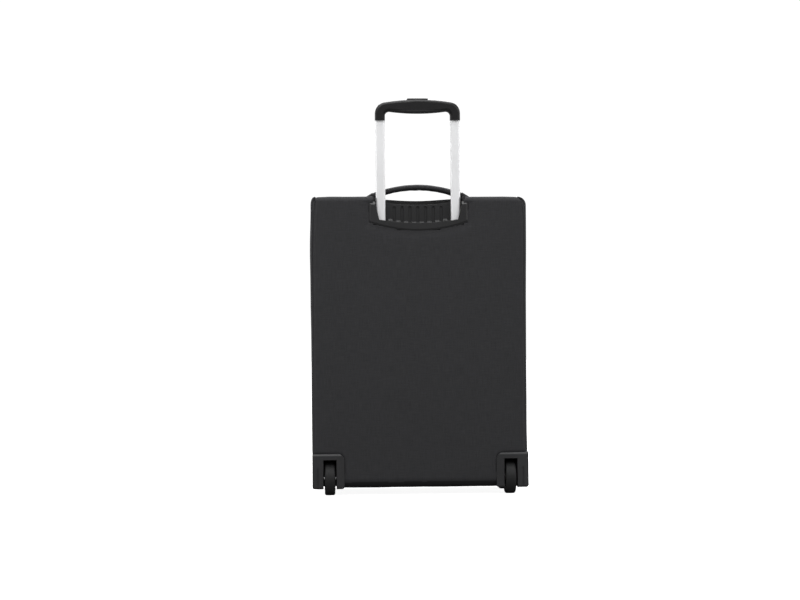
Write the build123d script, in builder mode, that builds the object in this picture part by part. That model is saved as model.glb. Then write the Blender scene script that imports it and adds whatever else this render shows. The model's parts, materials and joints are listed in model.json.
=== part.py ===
from build123d import *
import os

os.makedirs("parts", exist_ok=True)

# Softside cabin upright suitcase, 550 x 400 x 200 mm with the trolley handle down.
# Row frame: +Z up, the pocket side faces -Y, the trolley side faces +Y, origin on the floor
# at the centre of the footprint. "left" is +X, the left hand of a person towing the case.

# ---- driving dimensions (mm) ----
H_BODY = 550.0        # top of the bag
Z_BOT = 17.0          # underside of the bag
HALF_W = 198.2        # outer face of the side panels
WALL = 4.0            # fabric, foam and board of the bag wall
R_CORNER = 10.0       # corner of the bag seen from behind
Y_REAR = 90.0         # outer face of the rear panel
Y_ZIP = -48.0         # plane in which the main zip parts the lid from the body
Y_LID = -80.0         # outer face of the lid panel
ZC = (H_BODY + Z_BOT) / 2
H_RING = H_BODY - Z_BOT

TUBE_X = 69.4         # trolley tube axes
TUBE_Y = 76.5
FIT = 0.3             # play between telescoping tubes
UP_W, UP_D = 17.6, 11.0      # upper tube section
TUBE_T = 1.2
MID_W, MID_D = UP_W + 2 * FIT + 2 * TUBE_T, UP_D + 2 * FIT + 2 * TUBE_T
OUT_W, OUT_D = MID_W + 2 * FIT + 2 * TUBE_T, MID_D + 2 * FIT + 2 * TUBE_T
OUT_Z0, OUT_Z1 = 40.0, 485.8
MID_Z0, MID_Z1 = 50.0, 502.0
UP_Z0, UP_Z1 = 248.0, 706.0
LEG_Z = 692.0         # lower end of the grip's legs, handle at its first stop

WHEEL_X, WHEEL_Y, WHEEL_R, WHEEL_W = 166.5, 69.0, 31.0, 19.2
AXLE_R, BUSH_R = 3.0, 7.0
RUN = 0.05            # radial running clearance of the wheel bushes

BEAD_GAP = 0.2


def plane_y(y):
    """Sketch plane facing -Y at the given y; its x is +X and its y is +Z."""
    return Plane.XZ.offset(-y)


def save(part, name):
    part.label = name
    export_step(part, f"parts/{name}.step")


def ring(y0, y1, inset, thickness, r=R_CORNER):
    """A band running round the bag between y0 and y1, inset from its outer face."""
    w, h = 2 * (HALF_W - inset), H_RING - 2 * inset
    with BuildPart() as band:
        with BuildSketch(plane_y(y1)):
            with Locations((0, ZC)):
                RectangleRounded(w, h, max(r - inset, 1.0))
                RectangleRounded(w - 2 * thickness, h - 2 * thickness, max(r - inset - thickness, 0.8), mode=Mode.SUBTRACT)
        extrude(amount=y1 - y0)
    return band.part


def slab(y0, y1, inset, r=6.0):
    w, h = 2 * (HALF_W - inset), H_RING - 2 * inset
    with BuildPart() as plate:
        with BuildSketch(plane_y(y1)):
            with Locations((0, ZC)):
                RectangleRounded(w, h, r)
        extrude(amount=y1 - y0)
    return plate.part


def block(x0, x1, y0, y1, z0, z1):
    with BuildPart() as b:
        with Locations(((x0 + x1) / 2, (y0 + y1) / 2, (z0 + z1) / 2)):
            Box(x1 - x0, y1 - y0, z1 - z0)
    return b.part


# ---- wheel housing: moulded corner with an open well for one wheel ----
HX0, HX1, HZ0, HZ1, HY0, HY1 = 140.0, 199.0, 13.0, 78.0, 26.0, 95.0
def corner_cutter(x, z, sx, sz, r):
    """Prism along Y that rounds off the corner at (x, z); sx and sz point out of the corner."""
    with BuildPart() as cutter:
        with BuildSketch(plane_y(HY1 + 1)):
            with Locations((x - sx * r / 2, z - sz * r / 2)):
                Rectangle(r, r)
            with Locations((x, z)):
                Rectangle(2, 2)
            with Locations((x - sx * r, z - sz * r)):
                Circle(r, mode=Mode.SUBTRACT)
        extrude(amount=HY1 - HY0 + 2)
    return cutter.part


with BuildPart() as housing_envelope:
    with BuildSketch(Plane.YZ.offset(HX0)) as side:
        with BuildLine():
            s1 = Line((HY1, HZ0 + 4), (HY1, HZ1 - 5))
            s2 = ThreePointArc(s1 @ 1, (HY1 - 1.4645, HZ1 - 1.4645), (HY1 - 5, HZ1))
            s3 = Polyline(s2 @ 1, (72, HZ1), (HY0, 36), (HY0, HZ0), (HY1 - 4, HZ0))
            ThreePointArc(s3 @ 1, (HY1 - 1.1716, HZ0 + 1.1716), s1 @ 0)
        make_face()
    extrude(amount=HX1 - HX0)
    add(corner_cutter(HX0, HZ1, -1, 1, 14.0), mode=Mode.SUBTRACT)
    add(corner_cutter(HX0, HZ0, -1, -1, 5.0), mode=Mode.SUBTRACT)
    add(corner_cutter(HX1, HZ0, 1, -1, 5.0), mode=Mode.SUBTRACT)

with BuildPart() as wheel_well:
    with BuildSketch(Plane.YZ.offset(WHEEL_X - 11.75)):
        with Locations((WHEEL_Y, WHEEL_R)):
            Circle(WHEEL_R + 3.5)
        with Locations((WHEEL_Y + 25, 31)):
            Rectangle(50, 71)
        with Locations((WHEEL_Y, 0)):
            Rectangle(2 * (WHEEL_R + 3.5), 62)
    extrude(amount=23.5)

with BuildPart() as wheel_housing_left:
    add(housing_envelope.part)
    add(wheel_well.part, mode=Mode.SUBTRACT)
    with Locations((WHEEL_X, WHEEL_Y, WHEEL_R)):
        Cylinder(AXLE_R, 2 * 19.5, rotation=(0, 90, 0), mode=Mode.SUBTRACT)
    # moulded relief line on the outer lobe
    with BuildSketch(plane_y(HY1)):
        with Locations((189.0, 30.0)):
            SlotOverall(42.0, 3.0, rotation=90)
    extrude(amount=1.6, mode=Mode.SUBTRACT)
    # screw seats under the inner lobe
    with Locations((147.2, 42, HZ0), (147.2, 84, HZ0)):
        Cylinder(3.2, 2.2, align=(Align.CENTER, Align.CENTER, Align.MIN), mode=Mode.SUBTRACT)
        Cylinder(1.5, 12, align=(Align.CENTER, Align.CENTER, Align.MIN), mode=Mode.SUBTRACT)
    fillet(wheel_housing_left.edges().filter_by(Axis.Z).filter_by(lambda e: e.center().Y > HY1 - 0.01 and (abs(e.center().X - (WHEEL_X - 11.75)) < 0.01 or abs(e.center().X - (WHEEL_X + 11.75)) < 0.01)), 1.6)
save(wheel_housing_left.part, "wheel_housing_left")
with BuildPart() as wheel_housing_right:
    mirror(wheel_housing_left.part, about=Plane.YZ)
save(wheel_housing_right.part, "wheel_housing_right")

# ---- wheel: soft tyre on a spoked hub, two bushes, fixed axle ----
with BuildPart() as tyre_left:
    with BuildSketch(Plane.XY.offset(WHEEL_R)):
        with BuildLine():
            l1 = Line((WHEEL_X - WHEEL_W / 2, WHEEL_Y + 21.0), (WHEEL_X + WHEEL_W / 2, WHEEL_Y + 21.0))
            l2 = Line(l1 @ 1, (WHEEL_X + WHEEL_W / 2, WHEEL_Y + 27.5))
            l3 = ThreePointArc(l2 @ 1, (WHEEL_X + 8.4, WHEEL_Y + 29.9), (WHEEL_X + 6.2, WHEEL_Y + 30.85))
            l4 = Line(l3 @ 1, (WHEEL_X, WHEEL_Y + WHEEL_R))
            l5 = Line(l4 @ 1, (WHEEL_X - 6.2, WHEEL_Y + 30.85))
            l6 = ThreePointArc(l5 @ 1, (WHEEL_X - 8.4, WHEEL_Y + 29.9), (WHEEL_X - WHEEL_W / 2, WHEEL_Y + 27.5))
            Line(l6 @ 1, l1 @ 0)
        make_face()
    revolve(axis=Axis((WHEEL_X, WHEEL_Y, WHEEL_R), (1, 0, 0)))
save(tyre_left.part, "tyre_left")
with BuildPart() as hub_left:
    with Locations((WHEEL_X, WHEEL_Y, WHEEL_R)):
        Cylinder(21.0, 17.0, rotation=(0, 90, 0))
        Cylinder(BUSH_R, 18.0, rotation=(0, 90, 0), mode=Mode.SUBTRACT)
    for sx in (-1, 1):
        with BuildSketch(Plane.YZ.offset(WHEEL_X + sx * 8.5)):
            with Locations((WHEEL_Y, WHEEL_R)):
                with PolarLocations(13.6, 6):
                    SlotOverall(9.0, 5.4, rotation=90)
        extrude(amount=-sx * 6.0, mode=Mode.SUBTRACT)
save(hub_left.part, "hub_left")
with BuildPart() as bushes_left:
    for sx in (-1, 1):
        with Locations((WHEEL_X + sx * 6.25, WHEEL_Y, WHEEL_R)):
            Cylinder(BUSH_R, 6.5, rotation=(0, 90, 0))
            Cylinder(AXLE_R + RUN, 7.5, rotation=(0, 90, 0), mode=Mode.SUBTRACT)
save(bushes_left.part, "bushes_left")
with BuildPart() as axle_left:
    with Locations((WHEEL_X, WHEEL_Y, WHEEL_R)):
        Cylinder(AXLE_R, 38.0, rotation=(0, 90, 0))
    chamfer(axle_left.edges().filter_by(GeomType.CIRCLE), 0.4)
save(axle_left.part, "axle_left")
for src, name in ((tyre_left, "tyre_right"), (hub_left, "hub_right"), (bushes_left, "bushes_right"), (axle_left, "axle_right")):
    with BuildPart() as other:
        mirror(src.part, about=Plane.YZ)
    save(other.part, name)

# ---- front feet ----
with BuildPart() as front_foot_left:
    with BuildSketch(Plane.XY):
        with Locations((WHEEL_X, -31.0)):
            RectangleRounded(21.0, 25.0, 5.0)
    extrude(amount=Z_BOT)
    chamfer(front_foot_left.faces().sort_by(Axis.Z)[0].edges(), 1.5)
save(front_foot_left.part, "front_foot_left")
with BuildPart() as front_foot_right:
    mirror(front_foot_left.part, about=Plane.YZ)
save(front_foot_right.part, "front_foot_right")

# ---- trolley plate: moulded scoop that the grip sinks into, with a ribbed wall and finger trough ----
PLATE_X, PLATE_Y0, PLATE_Y1 = 85.0, 58.0, 94.4
RIM_X, RIM_TOP = 93.5, 541.0
CAV_X, CAV_Y0 = 82.0, 62.0
TROUGH_Z, TROUGH_Y0 = 536.6, 10.0
facing_rear = Plane(origin=(0, Y_REAR, 0), x_dir=(-1, 0, 0), z_dir=(0, 1, 0))


def d_profile(half, top, z_side, z_mid, r):
    """Sketch of the plate's outline: straight sides and a bowed lower edge."""
    with BuildSketch() as d:
        with BuildLine():
            a = Line((-half, top), (-half, z_side))
            b = ThreePointArc(a @ 1, (0, z_mid), (half, z_side))
            c = Line(b @ 1, (half, top))
            Line(c @ 1, a @ 0)
        make_face()
        fillet([v for v in d.vertices() if abs(v.Y - z_side) < 0.01], r)
    return d.sketch


with BuildPart() as plate_envelope:
    # flange level with the fabric, and the proud bevelled rim on it
    with BuildSketch(facing_rear):
        add(d_profile(RIM_X, RIM_TOP, 501.0, 484.0, 7.0))
    extrude(amount=-(Y_REAR - 85.0))
    with BuildSketch(facing_rear):
        add(d_profile(RIM_X, RIM_TOP, 501.0, 484.0, 7.0))
    extrude(amount=PLATE_Y1 - Y_REAR, taper=52)
    add(block(-PLATE_X, PLATE_X, 85.0, Y_REAR, 530.0, H_BODY))
    add(block(-PLATE_X, PLATE_X, PLATE_Y0, 85.0, 486.0, H_BODY))
    add(block(-PLATE_X, PLATE_X, TROUGH_Y0, PLATE_Y0, 533.6, H_BODY))
with BuildPart() as trolley_plate:
    add(plate_envelope.part)
    # cavity for the grip
    with BuildSketch(plane_y(Y_REAR)):
        with BuildLine():
            a = Line((-CAV_X, 552), (-CAV_X, 507))
            b = ThreePointArc((-CAV_X, 507), (0, 500), (CAV_X, 507))
            c = Line((CAV_X, 507), (CAV_X, 552))
            Line(c @ 1, a @ 0)
        make_face()
    extrude(amount=Y_REAR - CAV_Y0, mode=Mode.SUBTRACT)
    # window in the rear rim, its sides leaning in towards the floor
    with BuildSketch(plane_y(97.0)):
        with BuildLine():
            p = Polyline((-72.6, 507.4), (-80.0, 536), (-80.0, 552), (80.0, 552), (80.0, 536), (72.6, 507.4))
            ThreePointArc(p @ 1, (0, 501.2), p @ 0)
        make_face()
    extrude(amount=97.0 - 89.0, mode=Mode.SUBTRACT)
    # finger trough under the carry handle, running through the top of the ribbed wall
    with BuildSketch(plane_y(65.0)):
        with BuildLine():
            t1 = ThreePointArc((-62, 541.0), (0, TROUGH_Z), (62, 541.0))
            Polyline(t1 @ 1, (76, 552), (-76, 552), t1 @ 0)
        make_face()
    extrude(amount=65.0 - 14.0, mode=Mode.SUBTRACT)
    # the trough's front lip dips in the middle
    with BuildSketch(plane_y(14.5)):
        with BuildLine():
            t2 = ThreePointArc((-64, 550.2), (0, 545.9), (64, 550.2))
            Line(t2 @ 1, t2 @ 0)
        make_face()
    extrude(amount=5.5, mode=Mode.SUBTRACT)
    # seven upright flutes in the wall
    with BuildSketch(plane_y(CAV_Y0 + 0.1)):
        with GridLocations(14.6, 1, 7, 1):
            with Locations((0, 517.5)):
                RectangleRounded(5.6, 33, 2.7)
    extrude(amount=2.7, mode=Mode.SUBTRACT)
    # small ledges at the foot of the wall between the flutes
    for i in range(8):
        x0 = -58.4 + 14.6 * i
        z0 = 501.6 + 5.7 * ((x0 + 7.3) / 52.0) ** 2
        with BuildSketch(Plane.YZ.offset(x0 + 3.0)):
            with BuildLine():
                Polyline((CAV_Y0 - 0.5, z0 + 3.4), (CAV_Y0, z0 + 3.4), (CAV_Y0 + 3.4, z0), (CAV_Y0 + 3.4, 499.0), (CAV_Y0 - 0.5, 499.0), close=True)
            make_face()
        extrude(amount=8.6)
    # seats for the tube collars, and the holes the middle tubes slide through
    for sx in (-1, 1):
        with BuildSketch(Plane.XY.offset(500.0)):
            with Locations((sx * TUBE_X, TUBE_Y)):
                RectangleRounded(25.0, 18.4, 5.5)
        extrude(amount=14.0, mode=Mode.SUBTRACT)
        with BuildSketch(Plane.XY.offset(484.0)):
            with Locations((sx * TUBE_X, TUBE_Y)):
                RectangleRounded(MID_W + 2 * FIT, MID_D + 2 * FIT, 4.0)
        extrude(amount=20.0, mode=Mode.SUBTRACT)
    # screw holes in the trough floor
    with Locations((-48, 24, 539), (48, 24, 539), (-48, 50, 539), (48, 50, 539)):
        Cylinder(1.6, 16, mode=Mode.SUBTRACT)
        Cylinder(3.0, 5.0, mode=Mode.SUBTRACT)
save(trolley_plate.part, "trolley_plate")
with BuildPart() as housing_screw_pair:
    with Locations((147.2, 42, HZ0 + 0.3), (147.2, 84, HZ0 + 0.3)):
        Cylinder(3.2, 1.9, align=(Align.CENTER, Align.CENTER, Align.MIN))
        Cylinder(1.5, 11.7, align=(Align.CENTER, Align.CENTER, Align.MIN))
        Cylinder(1.1, 1.0, align=(Align.CENTER, Align.CENTER, Align.MIN), mode=Mode.SUBTRACT)
with BuildPart() as case_screws:
    add(housing_screw_pair.part)
    mirror(housing_screw_pair.part, about=Plane.YZ)
    with Locations((-48, 24, 536.5), (48, 24, 536.5), (-48, 50, 536.5), (48, 50, 536.5)):
        Cylinder(3.0, 1.4, align=(Align.CENTER, Align.CENTER, Align.MIN))
        Cylinder(1.0, 0.8, align=(Align.CENTER, Align.CENTER, Align.MIN), mode=Mode.SUBTRACT)
        Cylinder(1.6, 1.4, align=(Align.CENTER, Align.CENTER, Align.MAX))
save(case_screws.part, "case_screws")

# ---- trolley tubes: fixed outer, middle and upper stage, both sides ----
def tube(sx, w, d, t, r, z0, z1):
    with BuildPart() as tb:
        with BuildSketch(Plane.XY.offset(z0)):
            with Locations((sx * TUBE_X, TUBE_Y)):
                RectangleRounded(w, d, r)
                RectangleRounded(w - 2 * t, d - 2 * t, r - t, mode=Mode.SUBTRACT)
        extrude(amount=z1 - z0)
    return tb.part


PIN_Z, PIN_R = 243.5, 2.4     # lock pins, in the plugs of the upper tubes
for sx, side_name in ((1, "left"), (-1, "right")):
    save(tube(sx, OUT_W, OUT_D, TUBE_T, 5.4, OUT_Z0, OUT_Z1), f"outer_tube_{side_name}")
    with BuildPart() as middle_tube:
        add(tube(sx, MID_W, MID_D, TUBE_T, 4.6, MID_Z0, MID_Z1))
        # stop holes for the lock pins: handle raised one stage, and handle down
        with Locations((sx * (TUBE_X + MID_W / 2), TUBE_Y, PIN_Z), (sx * (TUBE_X + MID_W / 2), TUBE_Y, PIN_Z - 185.0)):
            Cylinder(PIN_R + 0.3, 6.0, rotation=(0, 90, 0), mode=Mode.SUBTRACT)
    save(middle_tube.part, f"middle_tube_{side_name}")
    save(tube(sx, UP_W, UP_D, TUBE_T, 3.8, UP_Z0, UP_Z1), f"upper_tube_{side_name}")

with BuildPart() as middle_collars:
    for sx in (-1, 1):
        with BuildSketch(Plane.XY.offset(500.3)):
            with Locations((sx * TUBE_X, TUBE_Y)):
                RectangleRounded(24.2, 17.6, 5.2)
                RectangleRounded(MID_W, MID_D, 4.6, mode=Mode.SUBTRACT)
        extrude(amount=MID_Z1 - 500.3)
        with BuildSketch(Plane.XY.offset(MID_Z1)):
            with Locations((sx * TUBE_X, TUBE_Y)):
                RectangleRounded(24.2, 17.6, 5.2)
                RectangleRounded(MID_W - 2 * TUBE_T, MID_D - 2 * TUBE_T, 3.4, mode=Mode.SUBTRACT)
        extrude(amount=3.3)
    chamfer([e for e in middle_collars.edges().group_by(Axis.Z)[-1] if abs(abs(e.center().X) - TUBE_X) > 9.9 or abs(e.center().Y - TUBE_Y) > 6.6], 0.8)
save(middle_collars.part, "middle_collars")

with BuildPart() as trolley_base_bracket:
    with Locations((0, (66.5 + 85) / 2, 36)):
        Box(176, 18.5, 24)
    fillet(trolley_base_bracket.edges().filter_by(Axis.Y), 4)
    for sx in (-1, 1):
        with BuildSketch(Plane.XY.offset(OUT_Z0)):
            with Locations((sx * TUBE_X, TUBE_Y)):
                RectangleRounded(OUT_W, OUT_D, 5.4)
        extrude(amount=20, mode=Mode.SUBTRACT)
    with Locations((0, 72, 36)):
        Box(96, 14, 18, mode=Mode.SUBTRACT)
save(trolley_base_bracket.part, "trolley_base_bracket")

# guide plug closing each upper tube, bored for its lock pin and release rod
with BuildPart() as tube_plugs:
    for sx in (-1, 1):
        with BuildSketch(Plane.XY.offset(239.0)):
            with Locations((sx * TUBE_X, TUBE_Y)):
                RectangleRounded(UP_W, UP_D, 3.8)
        extrude(amount=UP_Z0 - 239.0)
        with BuildSketch(Plane.XY.offset(UP_Z0)):
            with Locations((sx * TUBE_X, TUBE_Y)):
                RectangleRounded(UP_W - 2 * TUBE_T, UP_D - 2 * TUBE_T, 2.6)
        extrude(amount=10.0)
        with Locations((sx * TUBE_X, TUBE_Y, 247.0)):
            Cylinder(1.9, 20, align=(Align.CENTER, Align.CENTER, Align.MIN), mode=Mode.SUBTRACT)
        with Locations((sx * (TUBE_X + UP_W / 2 + 0.1), TUBE_Y, PIN_Z)):
            Cylinder(PIN_R + 0.05, 22.0, rotation=(0, 90, 0), mode=Mode.SUBTRACT)
save(tube_plugs.part, "tube_plugs")
for sx, side_name in ((1, "left"), (-1, "right")):
    with BuildPart() as lock_pin:
        with Locations((sx * (TUBE_X + UP_W / 2 - 3.5), TUBE_Y, PIN_Z)):
            Cylinder(PIN_R, 7.0, rotation=(0, 90, 0))
        chamfer(lock_pin.edges().filter_by(GeomType.CIRCLE), 0.4)
    save(lock_pin.part, f"lock_pin_{side_name}")

# ---- grip: bridge between the upper tubes, soft underside, release button on top ----
GRIP_D = 19.0
GRIP_TOP = 730.4
with BuildPart() as grip_whole:
    with BuildSketch(plane_y(TUBE_Y + GRIP_D / 2)) as gs:
        with BuildLine():
            g1 = Line((-79, LEG_Z), (-79, 722.4))
            g2 = ThreePointArc(g1 @ 1, (0, GRIP_TOP), (79, 722.4))
            g3 = Line(g2 @ 1, (79, LEG_Z))
            g4 = Line(g3 @ 1, (60.4, LEG_Z))
            g5 = Line(g4 @ 1, (60.4, 710.0))
            g6 = ThreePointArc(g5 @ 1, (0, 705.2), (-60.4, 710.0))
            g7 = Line(g6 @ 1, (-60.4, LEG_Z))
            Line(g7 @ 1, g1 @ 0)
        make_face()
        fillet([v for v in gs.vertices() if abs(v.Y - 722.4) < 0.1], 21.0)
        fillet([v for v in gs.vertices() if abs(v.Y - 710.0) < 0.1], 8.0)
    extrude(amount=GRIP_D)
    front_back = grip_whole.faces().filter_by(Axis.Y)
    outline = [e for f in front_back for e in f.edges() if e.center().Z > LEG_Z + 0.5]
    fillet(outline, 5.0)
    # hollow for the release bar and button
    with Locations((0, TUBE_Y, (713.0 + 721.2) / 2)):
        Box(2 * 74, 8.4, 721.2 - 713.0, mode=Mode.SUBTRACT)
    with Locations((0, TUBE_Y, 717.2)):
        Box(40.0, 13.6, 30, align=(Align.CENTER, Align.CENTER, Align.MIN), mode=Mode.SUBTRACT)
    for sx in (-1, 1):
        with BuildSketch(Plane.XY.offset(LEG_Z)):
            with Locations((sx * TUBE_X, TUBE_Y)):
                RectangleRounded(UP_W, UP_D, 3.8)
        extrude(amount=UP_Z1 - LEG_Z, mode=Mode.SUBTRACT)
        with Locations((sx * TUBE_X, TUBE_Y, UP_Z1 - 1)):
            Cylinder(2.6, 9, align=(Align.CENTER, Align.CENTER, Align.MIN), mode=Mode.SUBTRACT)
insert_zone = block(-50, 50, 60, 100, 700, 710.4)
with BuildPart() as grip_shell:
    add(grip_whole.part)
    add(insert_zone, mode=Mode.SUBTRACT)
save(grip_shell.part, "grip_shell")
with BuildPart() as grip_insert:
    add(grip_whole.part)
    add(insert_zone, mode=Mode.INTERSECT)
save(grip_insert.part, "grip_insert")

BAR_Z0, BAR_Z1 = 717.4, 720.8
with BuildPart() as release_bar:
    with Locations((0, TUBE_Y, (BAR_Z0 + BAR_Z1) / 2)):
        Box(146, 6.4, BAR_Z1 - BAR_Z0)
save(release_bar.part, "release_bar")
with BuildPart() as release_button:
    with Locations((0, TUBE_Y, BAR_Z1)):
        Box(39.0, 12.6, 732.8 - BAR_Z1, align=(Align.CENTER, Align.CENTER, Align.MIN))
    fillet(release_button.edges().filter_by(Axis.Z), 2.5)
    fillet(release_button.faces().sort_by(Axis.Z)[-1].edges(), 1.4)
save(release_button.part, "release_button")
with BuildPart() as release_rods:
    for sx in (-1, 1):
        with Locations((sx * TUBE_X, TUBE_Y, 251.5)):
            Cylinder(1.5, BAR_Z0 - 251.5, align=(Align.CENTER, Align.CENTER, Align.MIN))
save(release_rods.part, "release_rods")
with BuildPart() as button_springs:
    for sx in (-1, 1):
        with BuildLine() as coil:
            Helix(pitch=1.35, height=3.6, radius=2.2, center=(sx * 34, TUBE_Y, 713.4))
        with BuildSketch(Plane(origin=coil.line @ 0, z_dir=coil.line % 0)):
            Circle(0.35)
        sweep(path=coil.line)
save(button_springs.part, "button_springs")

# ---- carry handle on the top, its two end mounts ----
HAND_Y0, HAND_Y1 = 24.0, 52.0
with BuildPart() as carry_handle:
    with BuildSketch(plane_y(HAND_Y1)):
        with BuildLine():
            h1 = ThreePointArc((-84, 560.4), (0, 576.2), (84, 560.4))
            h2 = Line(h1 @ 1, (84, 550.0))
            h3 = Line(h2 @ 1, (79, 550.0))
            h4 = ThreePointArc(h3 @ 1, (0, 565.6), (-79, 550.0))
            h5 = Line(h4 @ 1, (-84, 550.0))
            Line(h5 @ 1, h1 @ 0)
        make_face()
    extrude(amount=HAND_Y1 - HAND_Y0)
    fillet([e for f in carry_handle.faces().filter_by(Axis.Y) for e in f.edges() if e.center().Z > 560], 3.5)
save(carry_handle.part, "carry_handle")
with BuildPart() as handle_mount_one:
    with BuildSketch(plane_y(HAND_Y1 + 2)) as ms:
        with BuildLine():
            Polyline((84, 550), (100.5, 550), (93, 555.2), (84, 560.6), close=True)
        make_face()
    extrude(amount=HAND_Y1 - HAND_Y0 + 4)
    fillet(handle_mount_one.edges().filter_by(lambda e: e.center().Z > 553 and abs(e.center().Y - (HAND_Y0 + HAND_Y1) / 2) > 10 and e.center().X > 85), 2.5)
with BuildPart() as handle_mounts:
    add(handle_mount_one.part)
    mirror(handle_mount_one.part, about=Plane.YZ)
save(handle_mounts.part, "handle_mounts")

# ---- bag body: one band round the sides, a padded rear panel, piping on the rear edges ----
with BuildPart() as piping_one:
    with BuildLine() as pipe_line:
        FilletPolyline((196.3, 87.6, 79.0), (192.5, 87.6, 548.6), (191.5, -41.5, 548.6), radius=14)
    with BuildSketch(Plane(origin=pipe_line.line @ 0, z_dir=pipe_line.line % 0)):
        Circle(2.3)
    sweep(path=pipe_line.line)
with BuildPart() as rear_piping:
    add(piping_one.part)
    mirror(piping_one.part, about=Plane.YZ)
save(rear_piping.part, "rear_piping")

with BuildPart() as housings_both:
    add(housing_envelope.part)
    mirror(housing_envelope.part, about=Plane.YZ)

with BuildPart() as body_gusset:
    add(ring(-42.0, Y_REAR, 0, WALL))
    # the fabric runs on unbroken past the zip line on the hinge side
    add(block(HALF_W - WALL, HALF_W, Y_ZIP + BEAD_GAP, -42.0, 60.0, 507.0))
    add(plate_envelope.part, mode=Mode.SUBTRACT)
    add(housings_both.part, mode=Mode.SUBTRACT)
    add(rear_piping.part, mode=Mode.SUBTRACT)
save(body_gusset.part, "body_gusset")
with BuildPart() as rear_panel:
    add(slab(86.0, Y_REAR, WALL))
    add(plate_envelope.part, mode=Mode.SUBTRACT)
    add(housings_both.part, mode=Mode.SUBTRACT)
    add(rear_piping.part, mode=Mode.SUBTRACT)
save(rear_panel.part, "rear_panel")
with BuildPart() as back_board:
    add(slab(85.0, 86.0, WALL + 2.0))
    add(plate_envelope.part, mode=Mode.SUBTRACT)
    add(block(-RIM_X, RIM_X, 84, 87, 480, 551), mode=Mode.SUBTRACT)
    add(housings_both.part, mode=Mode.SUBTRACT)
    add(rear_piping.part, mode=Mode.SUBTRACT)
save(back_board.part, "back_board")

# spring-steel wire that holds the mouth of the body square
with BuildPart() as frame_wire:
    with BuildLine() as wire_line:
        hw, z0, z1, rr = HALF_W - WALL - 1.9, Z_BOT + WALL + 1.9, H_BODY - WALL - 1.9, 14.0
        w1 = Line((-hw + rr, -38, z0), (hw - rr, -38, z0))
        w2 = ThreePointArc(w1 @ 1, (hw - rr + rr * 0.70710678, -38, z0 + rr - rr * 0.70710678), (hw, -38, z0 + rr))
        w3 = Line(w2 @ 1, (hw, -38, z1 - rr))
        w4 = ThreePointArc(w3 @ 1, (hw - rr + rr * 0.70710678, -38, z1 - rr + rr * 0.70710678), (hw - rr, -38, z1))
        w5 = Line(w4 @ 1, (-hw + rr, -38, z1))
        w6 = ThreePointArc(w5 @ 1, (-hw + rr - rr * 0.70710678, -38, z1 - rr + rr * 0.70710678), (-hw, -38, z1 - rr))
        w7 = Line(w6 @ 1, (-hw, -38, z0 + rr))
        ThreePointArc(w7 @ 1, (-hw + rr - rr * 0.70710678, -38, z0 + rr - rr * 0.70710678), (-hw + rr, -38, z0))
    with BuildSketch(Plane(origin=(-hw + rr, -38, z0), z_dir=(1, 0, 0))):
        Circle(1.6)
    sweep(path=wire_line.line)
save(frame_wire.part, "frame_wire")

# lining: a thin open-fronted liner stepped round the wheel housings, tubes and trolley plate
def liner_block(t):
    hx, zl, zh, yr = HALF_W - WALL - 3.9 - t, Z_BOT + WALL + 3.9 + t, H_BODY - WALL - 3.9 - t, 66.0 - t
    with BuildPart() as lb:
        add(block(-hx, hx, -41.0 - (5 if t else 0), yr, zl, zh))
        fillet(lb.edges().filter_by(Axis.Y), 12.0 - t)
        for sx in (-1, 1):
            x0, x1 = sorted((sx * (138.0 - t), sx * 230.0))
            add(block(x0, x1, 24.0 - t, 100, 0, 80.0 + t), mode=Mode.SUBTRACT)
        add(block(-87.0 - t, 87.0 + t, 56.0 - t, 100, 484.0 - t, 600), mode=Mode.SUBTRACT)
        add(block(-87.0 - t, 87.0 + t, 8.0 - t, 100, 532.0 - t, 600), mode=Mode.SUBTRACT)
    return lb.part


with BuildPart() as body_lining:
    add(liner_block(0.0))
    add(liner_block(0.9), mode=Mode.SUBTRACT)
save(body_lining.part, "body_lining")

# elastic packing straps meeting at a centre buckle, lying on the rear of the liner
STRAP_Y1 = 65.1
with BuildPart() as strap_buckle:
    with BuildSketch(plane_y(STRAP_Y1)):
        with Locations((0, 270)):
            RectangleRounded(54, 34, 8)
    extrude(amount=6.0)
    fillet(strap_buckle.faces().sort_by(Axis.Y)[0].edges(), 2.0)
save(strap_buckle.part, "strap_buckle")
with BuildPart() as packing_straps:
    for sx in (-1, 1):
        for top in (1, -1):
            with BuildSketch(plane_y(STRAP_Y1)):
                z_end = 270 + top * 120
                with BuildLine():
                    Polyline((sx * 27.0, 270 + top * 1.0), (sx * 27.0, 270 + top * 16.0), (sx * 188.0, z_end + top * 13.0 - 0.0), (sx * 188.0, z_end - top * 13.0), close=True)
                make_face()
            extrude(amount=1.4)
save(packing_straps.part, "packing_straps")

# ---- main zip: a tape and coil half on the body and one on the lid ----
with BuildPart() as hinge_gap:
    add(block(HALF_W - 6.0, HALF_W + 6, -60, -40, 60.0, 507.0))
for name, ya, yb, y_bead0, y_bead1 in (
    ("zip_tape_body", Y_ZIP + BEAD_GAP, -42.0, Y_ZIP + BEAD_GAP, Y_ZIP + 2.6),
    ("zip_tape_lid", -54.0, Y_ZIP - BEAD_GAP, Y_ZIP - 2.6, Y_ZIP - BEAD_GAP),
):
    with BuildPart() as tape:
        add(ring(ya, yb, 2.0, 1.2))
        add(ring(y_bead0, y_bead1, 1.0, 3.0))
        add(hinge_gap.part, mode=Mode.SUBTRACT)
    save(tape.part, name)

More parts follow.
